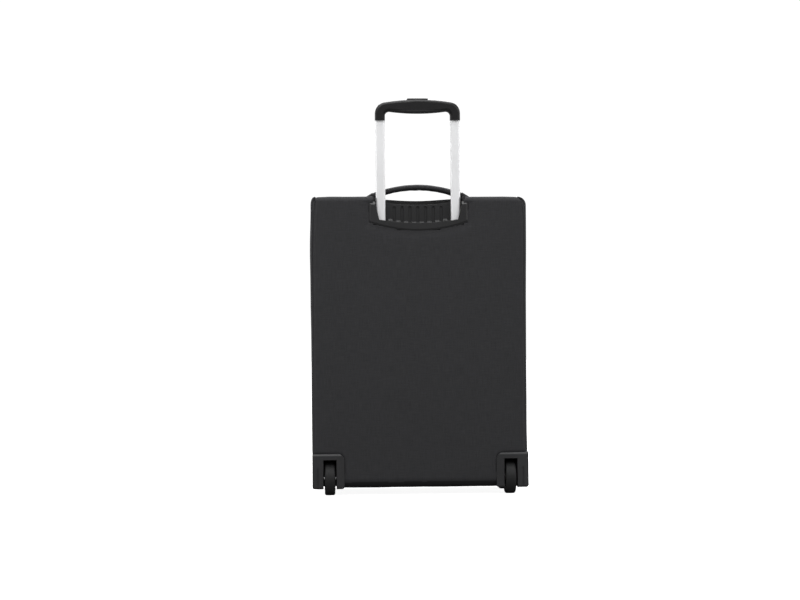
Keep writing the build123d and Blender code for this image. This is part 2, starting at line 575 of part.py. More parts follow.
# ---- lid: shallow band, front panel with piping, lining with a net pocket, two zipped pockets ----
with BuildPart() as lid_piping:
    with BuildLine() as lp:
        lw, lz0, lz1, lr = HALF_W - 1.6, Z_BOT + 1.6, H_BODY - 1.6, 12.0
        k = 0.70710678
        p1 = Line((-lw + lr, Y_LID + 1.4, lz0), (lw - lr, Y_LID + 1.4, lz0))
        p2 = ThreePointArc(p1 @ 1, (lw - lr + lr * k, Y_LID + 1.4, lz0 + lr - lr * k), (lw, Y_LID + 1.4, lz0 + lr))
        p3 = Line(p2 @ 1, (lw, Y_LID + 1.4, lz1 - lr))
        p4 = ThreePointArc(p3 @ 1, (lw - lr + lr * k, Y_LID + 1.4, lz1 - lr + lr * k), (lw - lr, Y_LID + 1.4, lz1))
        p5 = Line(p4 @ 1, (-lw + lr, Y_LID + 1.4, lz1))
        p6 = ThreePointArc(p5 @ 1, (-lw + lr - lr * k, Y_LID + 1.4, lz1 - lr + lr * k), (-lw, Y_LID + 1.4, lz1 - lr))
        p7 = Line(p6 @ 1, (-lw, Y_LID + 1.4, lz0 + lr))
        ThreePointArc(p7 @ 1, (-lw + lr - lr * k, Y_LID + 1.4, lz0 + lr - lr * k), (-lw + lr, Y_LID + 1.4, lz0))
    with BuildSketch(Plane(origin=(-lw + lr, Y_LID + 1.4, lz0), z_dir=(1, 0, 0))):
        Circle(2.3)
    sweep(path=lp.line)
save(lid_piping.part, "lid_piping")
with BuildPart() as lid_gusset:
    add(ring(Y_LID, -54.0, 0, WALL))
    add(block(HALF_W - WALL, HALF_W, -54.0, Y_ZIP - BEAD_GAP, 60.0, 507.0))
    add(lid_piping.part, mode=Mode.SUBTRACT)
save(lid_gusset.part, "lid_gusset")
with BuildPart() as lid_panel:
    add(slab(Y_LID, Y_LID + 4.0, WALL))
    add(lid_piping.part, mode=Mode.SUBTRACT)
save(lid_panel.part, "lid_panel")
with BuildPart() as lid_lining:
    add(slab(Y_LID + 4.0, Y_LID + 4.9, WALL + 1.0))
save(lid_lining.part, "lid_lining")
with BuildPart() as lid_net_pocket:
    with BuildSketch(plane_y(Y_LID + 7.4)):
        with Locations((0, 240)):
            RectangleRounded(340, 360, 12)
    extrude(amount=2.5)
save(lid_net_pocket.part, "lid_net_pocket")


def pocket(hw, z0, z1, y_front, z_slot, r):
    """An open-backed fabric tray sewn on the lid panel, its mouth cut in the front near the top."""
    with BuildPart() as pk:
        with BuildSketch(plane_y(Y_LID)):
            with Locations((0, (z0 + z1) / 2)):
                RectangleRounded(2 * hw, z1 - z0, r)
        extrude(amount=Y_LID - y_front)
        fillet(pk.faces().sort_by(Axis.Y)[0].edges(), 4.0)
        with BuildSketch(plane_y(Y_LID)):
            with Locations((0, (z0 + z1) / 2)):
                RectangleRounded(2 * hw - 5, z1 - z0 - 5, r - 2.5)
        extrude(amount=Y_LID - y_front - 2.0, mode=Mode.SUBTRACT)
        with BuildSketch(plane_y(y_front + 3)):
            with Locations((0, z_slot)):
                Rectangle(2 * hw - 26, 5)
        extrude(amount=6, mode=Mode.SUBTRACT)
    return pk.part


def zip_strip(hw, z, y_face):
    """A straight zip over a pocket mouth: two tapes and the coil in one closed strip."""
    with BuildPart() as st:
        with BuildSketch(plane_y(y_face)):
            with Locations((0, z)):
                Rectangle(2 * hw - 20, 12)
        extrude(amount=0.8)
        with BuildSketch(plane_y(y_face - 0.8)):
            with Locations((0, z)):
                Rectangle(2 * hw - 26, 3.4)
        extrude(amount=1.3)
    return st.part


UP_HW, UP_PZ0, UP_PZ1, UP_PY, UP_SLOT = 168.0, 404.0, 524.0, -93.4, 505.0
LO_HW, LO_PZ0, LO_PZ1, LO_PY, LO_SLOT = 180.0, 42.0, 390.0, -94.0, 370.0
save(pocket(UP_HW, UP_PZ0, UP_PZ1, UP_PY, UP_SLOT, 16.0), "upper_pocket")
save(pocket(LO_HW, LO_PZ0, LO_PZ1, LO_PY, LO_SLOT, 20.0), "lower_pocket")
save(zip_strip(UP_HW, UP_SLOT, UP_PY), "upper_pocket_zip")
save(zip_strip(LO_HW, LO_SLOT, LO_PY), "lower_pocket_zip")

# ---- zip sliders and pullers ----
# Local frame: x along the puller at rest, y across, z out of the fabric.
def zip_slider(plane, length, width, height, lug):
    with BuildPart(plane) as s:
        Box(length, width, height, align=(Align.CENTER, Align.CENTER, Align.MIN))
        for sy in (-1, 1):
            with Locations((0, sy * 2.3, height)):
                Box(2.6, 0.9, lug, align=(Align.CENTER, Align.CENTER, Align.MIN))
        with Locations((0, 0, height + lug - 0.9)):
            Cylinder(0.6, 5.0, rotation=(90, 0, 0))
    return s.part


def zip_puller(plane, pin_h, length, width):
    """A tab that turns on the slider's cross pin; local origin as the slider's."""
    with BuildPart(plane) as p:
        with Locations((0, 0, pin_h)):
            Cylinder(1.2, 3.1, rotation=(90, 0, 0))
        with Locations((0.9, 0, pin_h)):
            Box(6.5, 3.1, 1.1, align=(Align.MIN, Align.CENTER, Align.CENTER))
        with Locations((6.5, 0, pin_h)):
            Box(length - 6.5, width, 1.4, align=(Align.MIN, Align.CENTER, Align.CENTER))
        with Locations((0, 0, pin_h)):
            Cylinder(0.68, 4.0, rotation=(90, 0, 0), mode=Mode.SUBTRACT)
    return p.part


MS_Z, MS_H, MS_LUG = 549.3, 2.7, 2.4
plane_a = Plane(origin=(-128.0, Y_ZIP, MS_Z), x_dir=(1, 0, 0), z_dir=(0, 0, 1))
plane_b = Plane(origin=(-140.0, Y_ZIP, MS_Z), x_dir=(-1, 0, 0), z_dir=(0, 0, 1))
save(zip_slider(plane_a, 10.0, 8.6, MS_H, MS_LUG), "main_slider_a")
save(zip_slider(plane_b, 10.0, 8.6, MS_H, MS_LUG), "main_slider_b")
save(zip_puller(plane_a, MS_H + MS_LUG - 0.9, 26.0, 6.4), "main_puller_a")
save(zip_puller(plane_b, MS_H + MS_LUG - 0.9, 26.0, 6.4), "main_puller_b")
PS_H, PS_LUG = 1.0, 2.4
for nm, hw, z, y_face in (("upper_pocket", UP_HW, UP_SLOT, UP_PY), ("lower_pocket", LO_HW, LO_SLOT, LO_PY)):
    pl = Plane(origin=(-hw + 30.0, y_face - 2.3, z), x_dir=(0, 0, -1), z_dir=(0, -1, 0))
    save(zip_slider(pl, 8.6, 8.0, PS_H, PS_LUG), f"{nm}_slider")
    save(zip_puller(pl, PS_H + PS_LUG - 0.9, 25.0, 6.0), f"{nm}_puller")
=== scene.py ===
import bpy, bmesh, json, math
from mathutils import Vector, Matrix, noise, Quaternion

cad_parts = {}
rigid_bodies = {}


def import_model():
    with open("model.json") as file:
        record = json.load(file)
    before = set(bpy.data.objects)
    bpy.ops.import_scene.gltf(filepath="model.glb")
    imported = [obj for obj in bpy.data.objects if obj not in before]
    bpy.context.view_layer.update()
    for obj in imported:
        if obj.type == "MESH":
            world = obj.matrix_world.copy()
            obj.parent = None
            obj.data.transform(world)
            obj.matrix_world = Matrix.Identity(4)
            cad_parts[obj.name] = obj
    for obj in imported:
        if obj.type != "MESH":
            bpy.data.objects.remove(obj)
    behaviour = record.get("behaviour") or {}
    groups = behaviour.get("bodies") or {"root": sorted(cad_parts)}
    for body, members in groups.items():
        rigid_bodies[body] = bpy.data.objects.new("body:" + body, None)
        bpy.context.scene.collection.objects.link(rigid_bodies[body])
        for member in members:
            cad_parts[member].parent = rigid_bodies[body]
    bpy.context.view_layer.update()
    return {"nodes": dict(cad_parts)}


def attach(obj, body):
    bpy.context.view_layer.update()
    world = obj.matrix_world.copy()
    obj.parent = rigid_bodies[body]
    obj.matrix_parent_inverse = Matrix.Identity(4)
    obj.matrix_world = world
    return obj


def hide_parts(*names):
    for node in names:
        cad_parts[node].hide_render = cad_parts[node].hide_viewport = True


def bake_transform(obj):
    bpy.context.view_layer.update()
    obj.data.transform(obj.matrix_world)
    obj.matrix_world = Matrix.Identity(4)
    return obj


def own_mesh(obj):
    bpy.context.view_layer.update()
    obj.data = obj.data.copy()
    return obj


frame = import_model()
NODES = frame["nodes"]
MM = 0.001

# ------------------------------------------------------------------ materials
def new_mat(name):
    m = bpy.data.materials.new(name)
    m.use_nodes = True
    nt = m.node_tree
    nt.nodes.clear()
    out = nt.nodes.new("ShaderNodeOutputMaterial")
    b = nt.nodes.new("ShaderNodeBsdfPrincipled")
    nt.links.new(b.outputs[0], out.inputs[0])
    return m, nt, b


class G:
    """A small helper that builds node graphs."""

    def __init__(self, nt):
        self.nt = nt

    def n(self, kind, **props):
        x = self.nt.nodes.new(kind)
        for k, v in props.items():
            setattr(x, k, v)
        return x

    def link(self, a, b):
        self.nt.links.new(a, b)

    def sock(self, node, key, value):
        if isinstance(value, bpy.types.NodeSocket):
            self.link(value, node.inputs[key])
        else:
            node.inputs[key].default_value = value

    def math(self, op, a, b=None, c=None, clamp=False):
        x = self.n("ShaderNodeMath", operation=op, use_clamp=clamp)
        self.sock(x, 0, a)
        if b is not None:
            self.sock(x, 1, b)
        if c is not None:
            self.sock(x, 2, c)
        return x.outputs[0]

    def coord(self, which="Object"):
        return self.n("ShaderNodeTexCoord").outputs[which]

    def mapping(self, vec, scale=(1, 1, 1), rot=(0, 0, 0)):
        x = self.n("ShaderNodeMapping")
        self.link(vec, x.inputs["Vector"])
        x.inputs["Scale"].default_value = scale
        x.inputs["Rotation"].default_value = rot
        return x.outputs[0]

    def noise(self, vec, scale, detail=4.0, rough=0.55, dist=0.0):
        x = self.n("ShaderNodeTexNoise")
        self.link(vec, x.inputs["Vector"])
        x.inputs["Scale"].default_value = scale
        x.inputs["Detail"].default_value = detail
        x.inputs["Roughness"].default_value = rough
        x.inputs["Distortion"].default_value = dist
        return x.outputs["Fac"]

    def ramp(self, fac, stops):
        x = self.n("ShaderNodeValToRGB")
        self.link(fac, x.inputs["Fac"])
        cr = x.color_ramp
        while len(cr.elements) > 1:
            cr.elements.remove(cr.elements[-1])
        for i, (p, c) in enumerate(stops):
            e = cr.elements[0] if i == 0 else cr.elements.new(p)
            e.position = p
            e.color = (c, c, c, 1) if isinstance(c, (int, float)) else (*c, 1)
        return x.outputs["Color"]

    def mixc(self, fac, a, b, mode="MIX"):
        x = self.n("ShaderNodeMix", data_type="RGBA", blend_type=mode)
        self.sock(x, 0, fac)
        self.sock(x, 6, a if isinstance(a, bpy.types.NodeSocket) else (*a, 1))
        self.sock(x, 7, b if isinstance(b, bpy.types.NodeSocket) else (*b, 1))
        return x.outputs[2]

    def sep(self, vec):
        x = self.n("ShaderNodeSeparateXYZ")
        self.link(vec, x.inputs[0])
        return x.outputs

    def bump(self, height, strength, distance, normal=None):
        x = self.n("ShaderNodeBump")
        self.link(height, x.inputs["Height"])
        x.inputs["Strength"].default_value = strength
        x.inputs["Distance"].default_value = distance
        if normal is not None:
            self.link(normal, x.inputs["Normal"])
        return x.outputs[0]


def weave_height(g, uv, pitch):
    """Plain weave from a UV in metres: 1 at the crown of a thread, 0 between threads."""
    f = 1.0 / pitch
    s = g.sep(uv)
    u = g.math("MULTIPLY", s[0], f)
    v = g.math("MULTIPLY", s[1], f)
    par_u = g.math("FLOOR", u)
    par_v = g.math("FLOOR", v)
    pi = math.pi

    def sin2(x):
        y = g.math("SINE", g.math("MULTIPLY", x, pi))
        return g.math("MULTIPLY", y, y)

    warp_c = g.math("COSINE", g.math("MULTIPLY", g.math("ADD", v, par_u), pi))
    weft_c = g.math("COSINE", g.math("MULTIPLY", g.math("ADD", u, par_v), pi))
    warp = g.math("MULTIPLY", g.math("POWER", sin2(u), 0.5), g.math("MULTIPLY_ADD", warp_c, 0.5, 0.5))
    weft = g.math("MULTIPLY", g.math("POWER", sin2(v), 0.5), g.math("MULTIPLY_ADD", weft_c, -0.5, 0.5))
    return g.math("MAXIMUM", warp, weft), warp, weft


def fabric(name, col, pitch=0.0011, rough=0.85, bump=0.55, var=0.16, sheen=0.14, sheen_tint=(0.55, 0.55, 0.6), uv=True, slub=0.35, spec=0.25, dist=0.00022):
    m, nt, b = new_mat(name)
    g = G(nt)
    uvs = g.coord("UV") if uv else g.coord("Object")
    obj = g.coord("Object")
    h, warp, weft = weave_height(g, uvs, pitch)
    warp_n = g.noise(g.mapping(uvs, scale=(1 / pitch * 0.9, 1 / pitch * 0.05, 1)), 1.0, 2.0)
    weft_n = g.noise(g.mapping(uvs, scale=(1 / pitch * 0.05, 1 / pitch * 0.9, 1)), 1.0, 2.0)
    slubs = g.math("ADD", warp_n, weft_n)                    # about 1
    big = g.noise(obj, 9.0, 3.0, 0.6)
    t = g.math("MULTIPLY_ADD", g.math("SUBTRACT", slubs, 1.0), slub * 2, 0.5)
    t = g.math("ADD", t, g.math("MULTIPLY", g.math("SUBTRACT", big, 0.5), 0.35))
    # the weave height also sets the tone: painted shade in the gaps between threads, lighter thread crowns
    t = g.math("ADD", t, g.math("MULTIPLY", g.math("SUBTRACT", h, 0.55), 0.55), clamp=True)
    dark = tuple(c * (1 - var * 2.2) for c in col)
    light = tuple(c * (1 + var * 2.2) for c in col)
    g.link(g.ramp(t, [(0.0, dark), (0.5, col), (1.0, light)]), b.inputs["Base Color"])
    b.inputs["Sheen Weight"].default_value = sheen
    b.inputs["Sheen Roughness"].default_value = 0.45
    b.inputs["Sheen Tint"].default_value = (*sheen_tint, 1)
    b.inputs["Specular IOR Level"].default_value = spec
    r = g.math("MULTIPLY_ADD", g.math("SUBTRACT", big, 0.5), 0.18, rough)
    g.link(r, b.inputs["Roughness"])
    fine = g.noise(obj, 2600.0, 1.0)
    hh = g.math("ADD", h, g.math("MULTIPLY", fine, 0.18))
    g.link(g.bump(hh, bump, dist), b.inputs["Normal"])
    return m


def plastic(name, col, rough=0.42, grain=0.12, grain_scale=1500.0, wear=0.0, spec=0.45, edge=0.0, var=0.08):
    m, nt, b = new_mat(name)
    g = G(nt)
    obj = g.coord("Object")
    big = g.noise(obj, 14.0, 4.0, 0.6)
    dark = tuple(c * (1 - var * 2) for c in col)
    light = tuple(c * (1 + var * 2) for c in col)
    base = g.ramp(big, [(0.3, dark), (0.7, light)])
    if wear > 0:
        geo = g.n("ShaderNodeNewGeometry").outputs["Pointiness"]
        scr = g.noise(g.mapping(obj, scale=(1, 1, 1)), 220.0, 3.0, 0.7)
        e = g.math("MULTIPLY", g.ramp(geo, [(0.52, 0.0), (0.60, 1.0)]), g.ramp(scr, [(0.42, 0.0), (0.62, 1.0)]))
        base = g.mixc(g.math("MULTIPLY", e, wear), base, tuple(min(1, c * 3 + 0.05) for c in col))
    g.link(base, b.inputs["Base Color"])
    rr = g.math("MULTIPLY_ADD", g.math("SUBTRACT", big, 0.5), 0.12, rough)
    g.link(rr, b.inputs["Roughness"])
    b.inputs["Specular IOR Level"].default_value = spec
    h = g.noise(obj, grain_scale, 2.0, 0.6)
    nrm = None
    if edge > 0:
        bev = g.n("ShaderNodeBevel", samples=6)
        bev.inputs["Radius"].default_value = edge
        nrm = bev.outputs[0]
    g.link(g.bump(h, grain, 0.0002, nrm), b.inputs["Normal"])
    return m


def metal(name, col, rough=0.28, stretch=(1, 1, 1), scale=900.0, bump=0.04, edge=0.0, var=0.04, metallic=1.0):
    m, nt, b = new_mat(name)
    g = G(nt)
    obj = g.coord("Object")
    h = g.noise(g.mapping(obj, scale=stretch), scale, 3.0, 0.6)
    big = g.noise(obj, 8.0, 3.0, 0.6)
    g.link(g.ramp(big, [(0.3, tuple(c * (1 - var) for c in col)), (0.7, tuple(min(1, c * (1 + var)) for c in col))]), b.inputs["Base Color"])
    b.inputs["Metallic"].default_value = metallic
    r = g.math("MULTIPLY_ADD", g.math("SUBTRACT", h, 0.5), 0.14, rough)
    g.link(r, b.inputs["Roughness"])
    nrm = None
    if edge > 0:
        bev = g.n("ShaderNodeBevel", samples=6)
        bev.inputs["Radius"].default_value = edge
        nrm = bev.outputs[0]
    g.link(g.bump(h, bump, 0.0001, nrm), b.inputs["Normal"])
    return m


CHAR = (0.0285, 0.0285, 0.0305)
M = {}
M["shell"] = fabric("shell_weave", CHAR, pitch=0.0011)
M["gusset"] = fabric("gusset_weave", tuple(c * 0.95 for c in CHAR), pitch=0.0011)
M["pocket"] = fabric("pocket_weave", CHAR, pitch=0.0011)
M["piping"] = fabric("piping_weave", (0.036, 0.036, 0.038), pitch=0.0007, bump=0.35, var=0.1, rough=0.7, sheen=0.15)
M["tape"] = fabric("tape_weave", (0.016, 0.016, 0.017), pitch=0.0006, bump=0.4, var=0.2, rough=0.8, sheen=0.12)
M["webbing"] = fabric("webbing_weave", (0.018, 0.018, 0.019), pitch=0.0014, bump=0.8, var=0.15, rough=0.72, sheen=0.15, dist=0.0004)
M["lining"] = fabric("lining_weave", (0.085, 0.088, 0.096), pitch=0.0005, bump=0.25, var=0.07, rough=0.55, sheen=0.3, spec=0.4)
M["wrap"] = fabric("handle_wrap_weave", (0.026, 0.026, 0.028), pitch=0.0009, bump=0.5, var=0.14, rough=0.8)
# darker copy of the shell cloth for the bottom rounding: painted shade under the case
M["base"] = fabric("bottom_shade_weave", (0.0145, 0.0145, 0.0152), pitch=0.0009, bump=0.4, var=0.12, rough=0.75, sheen=0.05, spec=0.2)
M["binding"] = fabric("binding_grosgrain", (0.014, 0.014, 0.015), pitch=0.0008, bump=0.5, var=0.15, rough=0.75, sheen=0.15)
M["net"] = plastic("net_yarn", (0.02, 0.02, 0.021), rough=0.6, grain=0.2)
M["thread_light"] = fabric("strap_thread", (0.12, 0.12, 0.125), pitch=0.0003, bump=0.3, var=0.1, rough=0.7, uv=False)
M["thread"] = fabric("stitch_thread", (0.05, 0.05, 0.053), pitch=0.0003, bump=0.3, var=0.1, rough=0.7, uv=False)
M["coil"] = plastic("zip_coil_nylon", (0.022, 0.022, 0.023), rough=0.35, grain=0.02)
M["moulding"] = plastic("plate_moulding", (0.011, 0.011, 0.0118), rough=0.36, grain=0.10, edge=0.0009, spec=0.5)
M["housing"] = plastic("housing_moulding", (0.019, 0.019, 0.0203), rough=0.45, grain=0.22, edge=0.0006, wear=0.0)
M["foot"] = plastic("foot_moulding", (0.016, 0.016, 0.017), rough=0.5, grain=0.25, edge=0.0008, wear=0.3)
M["grip"] = plastic("grip_moulding", (0.0055, 0.0055, 0.0058), rough=0.34, grain=0.06, edge=0.0006, spec=0.32)
M["grip_soft"] = plastic("grip_soft_insert", (0.014, 0.014, 0.015), rough=0.62, grain=0.4, grain_scale=1100.0)
M["button"] = plastic("button_moulding", (0.016, 0.016, 0.017), rough=0.4, grain=0.1, edge=0.0006)
M["inner"] = plastic("inner_moulding", (0.02, 0.02, 0.021), rough=0.45, grain=0.1, edge=0.0005)
M["bush"] = plastic("bush_acetal", (0.55, 0.54, 0.5), rough=0.4, grain=0.02)
M["hub"] = plastic("hub_moulding", (0.02, 0.02, 0.021), rough=0.4, grain=0.12, edge=0.0008)
M["tyre"] = plastic("tyre_rubber", (0.012, 0.012, 0.0125), rough=0.68, grain=0.35, grain_scale=900.0, spec=0.3, wear=0.15)
M["board"] = plastic("pressed_board", (0.03, 0.028, 0.025), rough=0.85, grain=0.4, grain_scale=300.0)
M["tube"] = metal("tube_anodised", (0.93, 0.932, 0.94), rough=0.42, stretch=(1, 1, 0.02), scale=1400.0, bump=0.05, metallic=0.6)
M["steel"] = metal("plated_steel", (0.55, 0.55, 0.56), rough=0.32)
M["screw"] = metal("black_screw", (0.08, 0.08, 0.085), rough=0.4, edge=0.0003)
M["nickel"] = metal("nickel_slider", (0.72, 0.71, 0.69), rough=0.22, edge=0.0003)

CAD_MATS = {
    "trolley_plate": "moulding", "case_screws": "screw", "outer_tube_left": "tube", "outer_tube_right": "tube",
    "middle_tube_left": "tube", "middle_tube_right": "tube", "upper_tube_left": "tube", "upper_tube_right": "tube",
    "middle_collars": "inner", "trolley_base_bracket": "inner", "tube_plugs": "inner", "lock_pin_left": "steel",
    "lock_pin_right": "steel", "release_rods": "steel", "release_bar": "inner", "release_button": "button",
    "button_springs": "steel", "grip_shell": "grip", "grip_insert": "grip_soft", "wheel_housing_left": "housing",
    "wheel_housing_right": "housing", "axle_left": "steel", "axle_right": "steel", "tyre_left": "tyre", "tyre_right": "tyre",
    "hub_left": "hub", "hub_right": "hub", "bushes_left": "bush", "bushes_right": "bush", "front_foot_left": "foot",
    "front_foot_right": "foot", "handle_mounts": "moulding", "strap_buckle": "inner", "back_board": "board", "frame_wire": "steel",
    "main_slider_a": "nickel", "main_slider_b": "nickel", "upper_pocket_slider": "nickel", "lower_pocket_slider": "nickel",
    "main_puller_a": "button", "main_puller_b": "button", "upper_pocket_puller": "button", "lower_pocket_puller": "button",
    "rear_panel": "shell", "body_gusset": "gusset", "rear_piping": "piping", "body_lining": "lining", "zip_tape_body": "tape",
    "zip_tape_lid": "tape", "packing_straps": "webbing", "lid_gusset": "gusset", "lid_panel": "shell", "lid_piping": "piping",
    "lid_lining": "lining", "lid_net_pocket": "lining", "upper_pocket": "pocket", "lower_pocket": "pocket",
    "upper_pocket_zip": "tape", "lower_pocket_zip": "tape", "carry_handle": "wrap",
}
for n, o in NODES.items():
    o.data.materials.clear()
    o.data.materials.append(M[CAD_MATS[n]])

# ------------------------------------------------------------------ mesh helpers
def add_obj(name, me, mat):
    o = bpy.data.objects.new(name, me)
    bpy.context.scene.collection.objects.link(o)
    me.materials.append(mat)
    return o


def build(name, verts, faces, mat, uvs=None, smooth=True):
    """verts in mm; uvs: one (u, v) in metres per vertex."""
    me = bpy.data.meshes.new(name)
    me.from_pydata([(v[0] * MM, v[1] * MM, v[2] * MM) for v in verts], [], faces)
    if uvs is not None:
        layer = me.uv_layers.new(name="UVMap")
        for p in me.polygons:
            for k, li in enumerate(p.loop_indices):
                layer.data[li].uv = uvs[me.loops[li].vertex_index]
    for p in me.polygons:
        p.use_smooth = smooth
    me.update()
    return add_obj(name, me, mat)


def grid(P, close_u=False, close_v=False, keep=None, flip=False):
    """Vertices and faces of a grid P[i][j]; keep(i, j) says whether to keep a cell."""
    nu, nv = len(P), len(P[0])
    verts = [p for row in P for p in row]
    faces = []
    for i in range(nu if close_u else nu - 1):
        for j in range(nv if close_v else nv - 1):
            if keep and not keep(i, j):
                continue
            a, b = i * nv + j, ((i + 1) % nu) * nv + j
            c, d = ((i + 1) % nu) * nv + (j + 1) % nv, i * nv + (j + 1) % nv
            faces.append((a, d, c, b) if flip else (a, b, c, d))
    return verts, faces


def grid_uv(P, mid=None):
    """UVs by arc length, along the middle column for u and along each row for v, so a weave keeps its scale."""
    nu, nv = len(P), len(P[0])
    mid = nv // 2 if mid is None else mid
    us = [0.0]
    for i in range(1, nu):
        us.append(us[-1] + (Vector(P[i][mid]) - Vector(P[i - 1][mid])).length)
    out = []
    for i in range(nu):
        row = [0.0]
        for j in range(1, nv):
            row.append(row[-1] + (Vector(P[i][j]) - Vector(P[i][j - 1])).length)
        c = row[mid]
        out += [((r - c) * MM, us[i] * MM) for r in row]
    return out


def solidify(o, t, offset=-1.0, rim=True):
    m = o.modifiers.new("thickness", "SOLIDIFY")
    m.thickness = t * MM
    m.offset = offset
    m.use_rim = rim
    m.use_even_offset = True
    return o


def lin(a, b, n):
    return [a + (b - a) * i / (n - 1) for i in range(n)]


def clustered(lo, hi, step, edge=(0.0, 0.4, 1.0, 1.8, 3.0, 4.6, 6.8, 9.5), extra=()):
    """Grid lines from lo to hi, close together near both ends, and through the extra values."""
    mid = [lo + e for e in edge] + [hi - e for e in edge] + list(extra)
    n = max(2, int(round((hi - lo - 2 * edge[-1]) / step)))
    for i in range(1, n):
        v = lo + edge[-1] + (hi - lo - 2 * edge[-1]) * i / n
        if all(abs(v - x) > step * 0.35 for x in mid):
            mid.append(v)
    return sorted(set(round(x, 4) for x in mid))


def nz(x, y, z, s, seed=0.0):
    return noise.noise(Vector((x / s + seed * 7.31, y / s - seed * 3.7, z / s + seed * 1.93)))


def smooth01(t):
    t = max(0.0, min(1.0, t))
    return t * t * (3 - 2 * t)


def tube(name, pts, r, mat, seg=12, closed=False, caps=True, squash_y=1.0, up=None):
    """A round tube along points in mm, with parallel-transported rings and metre UVs."""
    P = [Vector(p) for p in pts]
    n = len(P)
    T = []
    for i in range(n):
        a = P[(i - 1) % n] if (closed or i > 0) else P[i]
        b = P[(i + 1) % n] if (closed or i < n - 1) else P[i]
        T.append((b - a).normalized())
    ref = Vector(up) if up else Vector((0, 0, 1))
    if abs(T[0].dot(ref)) > 0.95:
        ref = Vector((0, 1, 0))
    N = (ref - T[0] * ref.dot(T[0])).normalized()
    rows = []
    for i in range(n):
        if i:
            N = (N - T[i] * N.dot(T[i])).normalized()
        B = T[i].cross(N)
        rad = r[i] if isinstance(r, (list, tuple)) else r
        rows.append([tuple(P[i] + (N * math.cos(2 * math.pi * k / seg) * squash_y + B * math.sin(2 * math.pi * k / seg)) * rad) for k in range(seg)])
    verts, faces = grid(rows, close_u=closed, close_v=True, flip=True)
    L = [0.0]
    for i in range(1, n):
        L.append(L[-1] + (P[i] - P[i - 1]).length)
    rr = r[0] if isinstance(r, (list, tuple)) else r
    uvs = [(k * 2 * math.pi * rr / seg * MM, L[i] * MM) for i in range(n) for k in range(seg)]
    if caps and not closed:
        c0, c1 = len(verts), len(verts) + 1
        verts += [tuple(P[0]), tuple(P[-1])]
        uvs += [(0, 0), (0, 0)]
        for k in range(seg):
            faces.append((c0, (k + 1) % seg, k)[::-1] if False else (k, (k + 1) % seg, c0)[::-1])
            faces.append(((n - 1) * seg + k, (n - 1) * seg + (k + 1) % seg, c1))
    return build(name, verts, faces, mat, uvs)


def densify(pts, step):
    """Catmull-Rom through pts, resampled at about the given step."""
    P = [Vector(p) for p in pts]
    out = []
    for i in range(len(P) - 1):
        p0, p1, p2, p3 = P[max(i - 1, 0)], P[i], P[i + 1], P[min(i + 2, len(P) - 1)]
        k = max(1, int(round((p2 - p1).length / step)))
        for j in range(k):
            t = j / k
            out.append(0.5 * ((2 * p1) + (p2 - p0) * t + (2 * p0 - 5 * p1 + 4 * p2 - p3) * t * t + (3 * p1 - p0 - 3 * p2 + p3) * t ** 3))
    out.append(P[-1])
    return out


def resample(pts, step, closed=False):
    P = [Vector(p) for p in pts]
    if closed:
        P.append(P[0].copy())
    L = [0.0]
    for i in range(1, len(P)):
        L.append(L[-1] + (P[i] - P[i - 1]).length)
    n = max(2, int(round(L[-1] / step)))
    out, k = [], 0
    for i in range(n if closed else n + 1):
        d = L[-1] * i / n
        while k < len(L) - 2 and L[k + 1] < d:
            k += 1
        t = (d - L[k]) / max(1e-9, L[k + 1] - L[k])
        out.append(P[k].lerp(P[k + 1], t))
    return out


def rrect(hw, z0, z1, r, y, step=3.0):
    """Closed loop of points of a rounded rectangle in the XZ plane, counter-clockwise seen from -Y, starting at the bottom middle."""
    pts = []
    cx, cz0, cz1 = hw - r, z0 + r, z1 - r
    raw = []
    def arc(cx_, cz_, a0, a1):
        k = max(3, int(r * abs(a1 - a0) / step) + 2)
        for i in range(k + 1):
            a = a0 + (a1 - a0) * i / k
            raw.append((cx_ + r * math.cos(a), y, cz_ + r * math.sin(a)))
    def seg(p, q):
        k = max(1, int(math.dist(p, q) / step))
        for i in range(1, k):
            raw.append((p[0] + (q[0] - p[0]) * i / k, y, p[1] + (q[1] - p[1]) * i / k))
    raw.append((0, y, z0))
    seg((0, z0), (cx, z0))
    arc(cx, cz0, -math.pi / 2, 0)
    seg((hw, cz0), (hw, cz1))
    arc(cx, cz1, 0, math.pi / 2)
    seg((cx, z1), (-cx, z1))
    arc(-cx, cz1, math.pi / 2, math.pi)
    seg((-hw, cz1), (-hw, cz0))
    arc(-cx, cz0, math.pi, 1.5 * math.pi)
    seg((-cx, z0), (0, z0))
    return raw


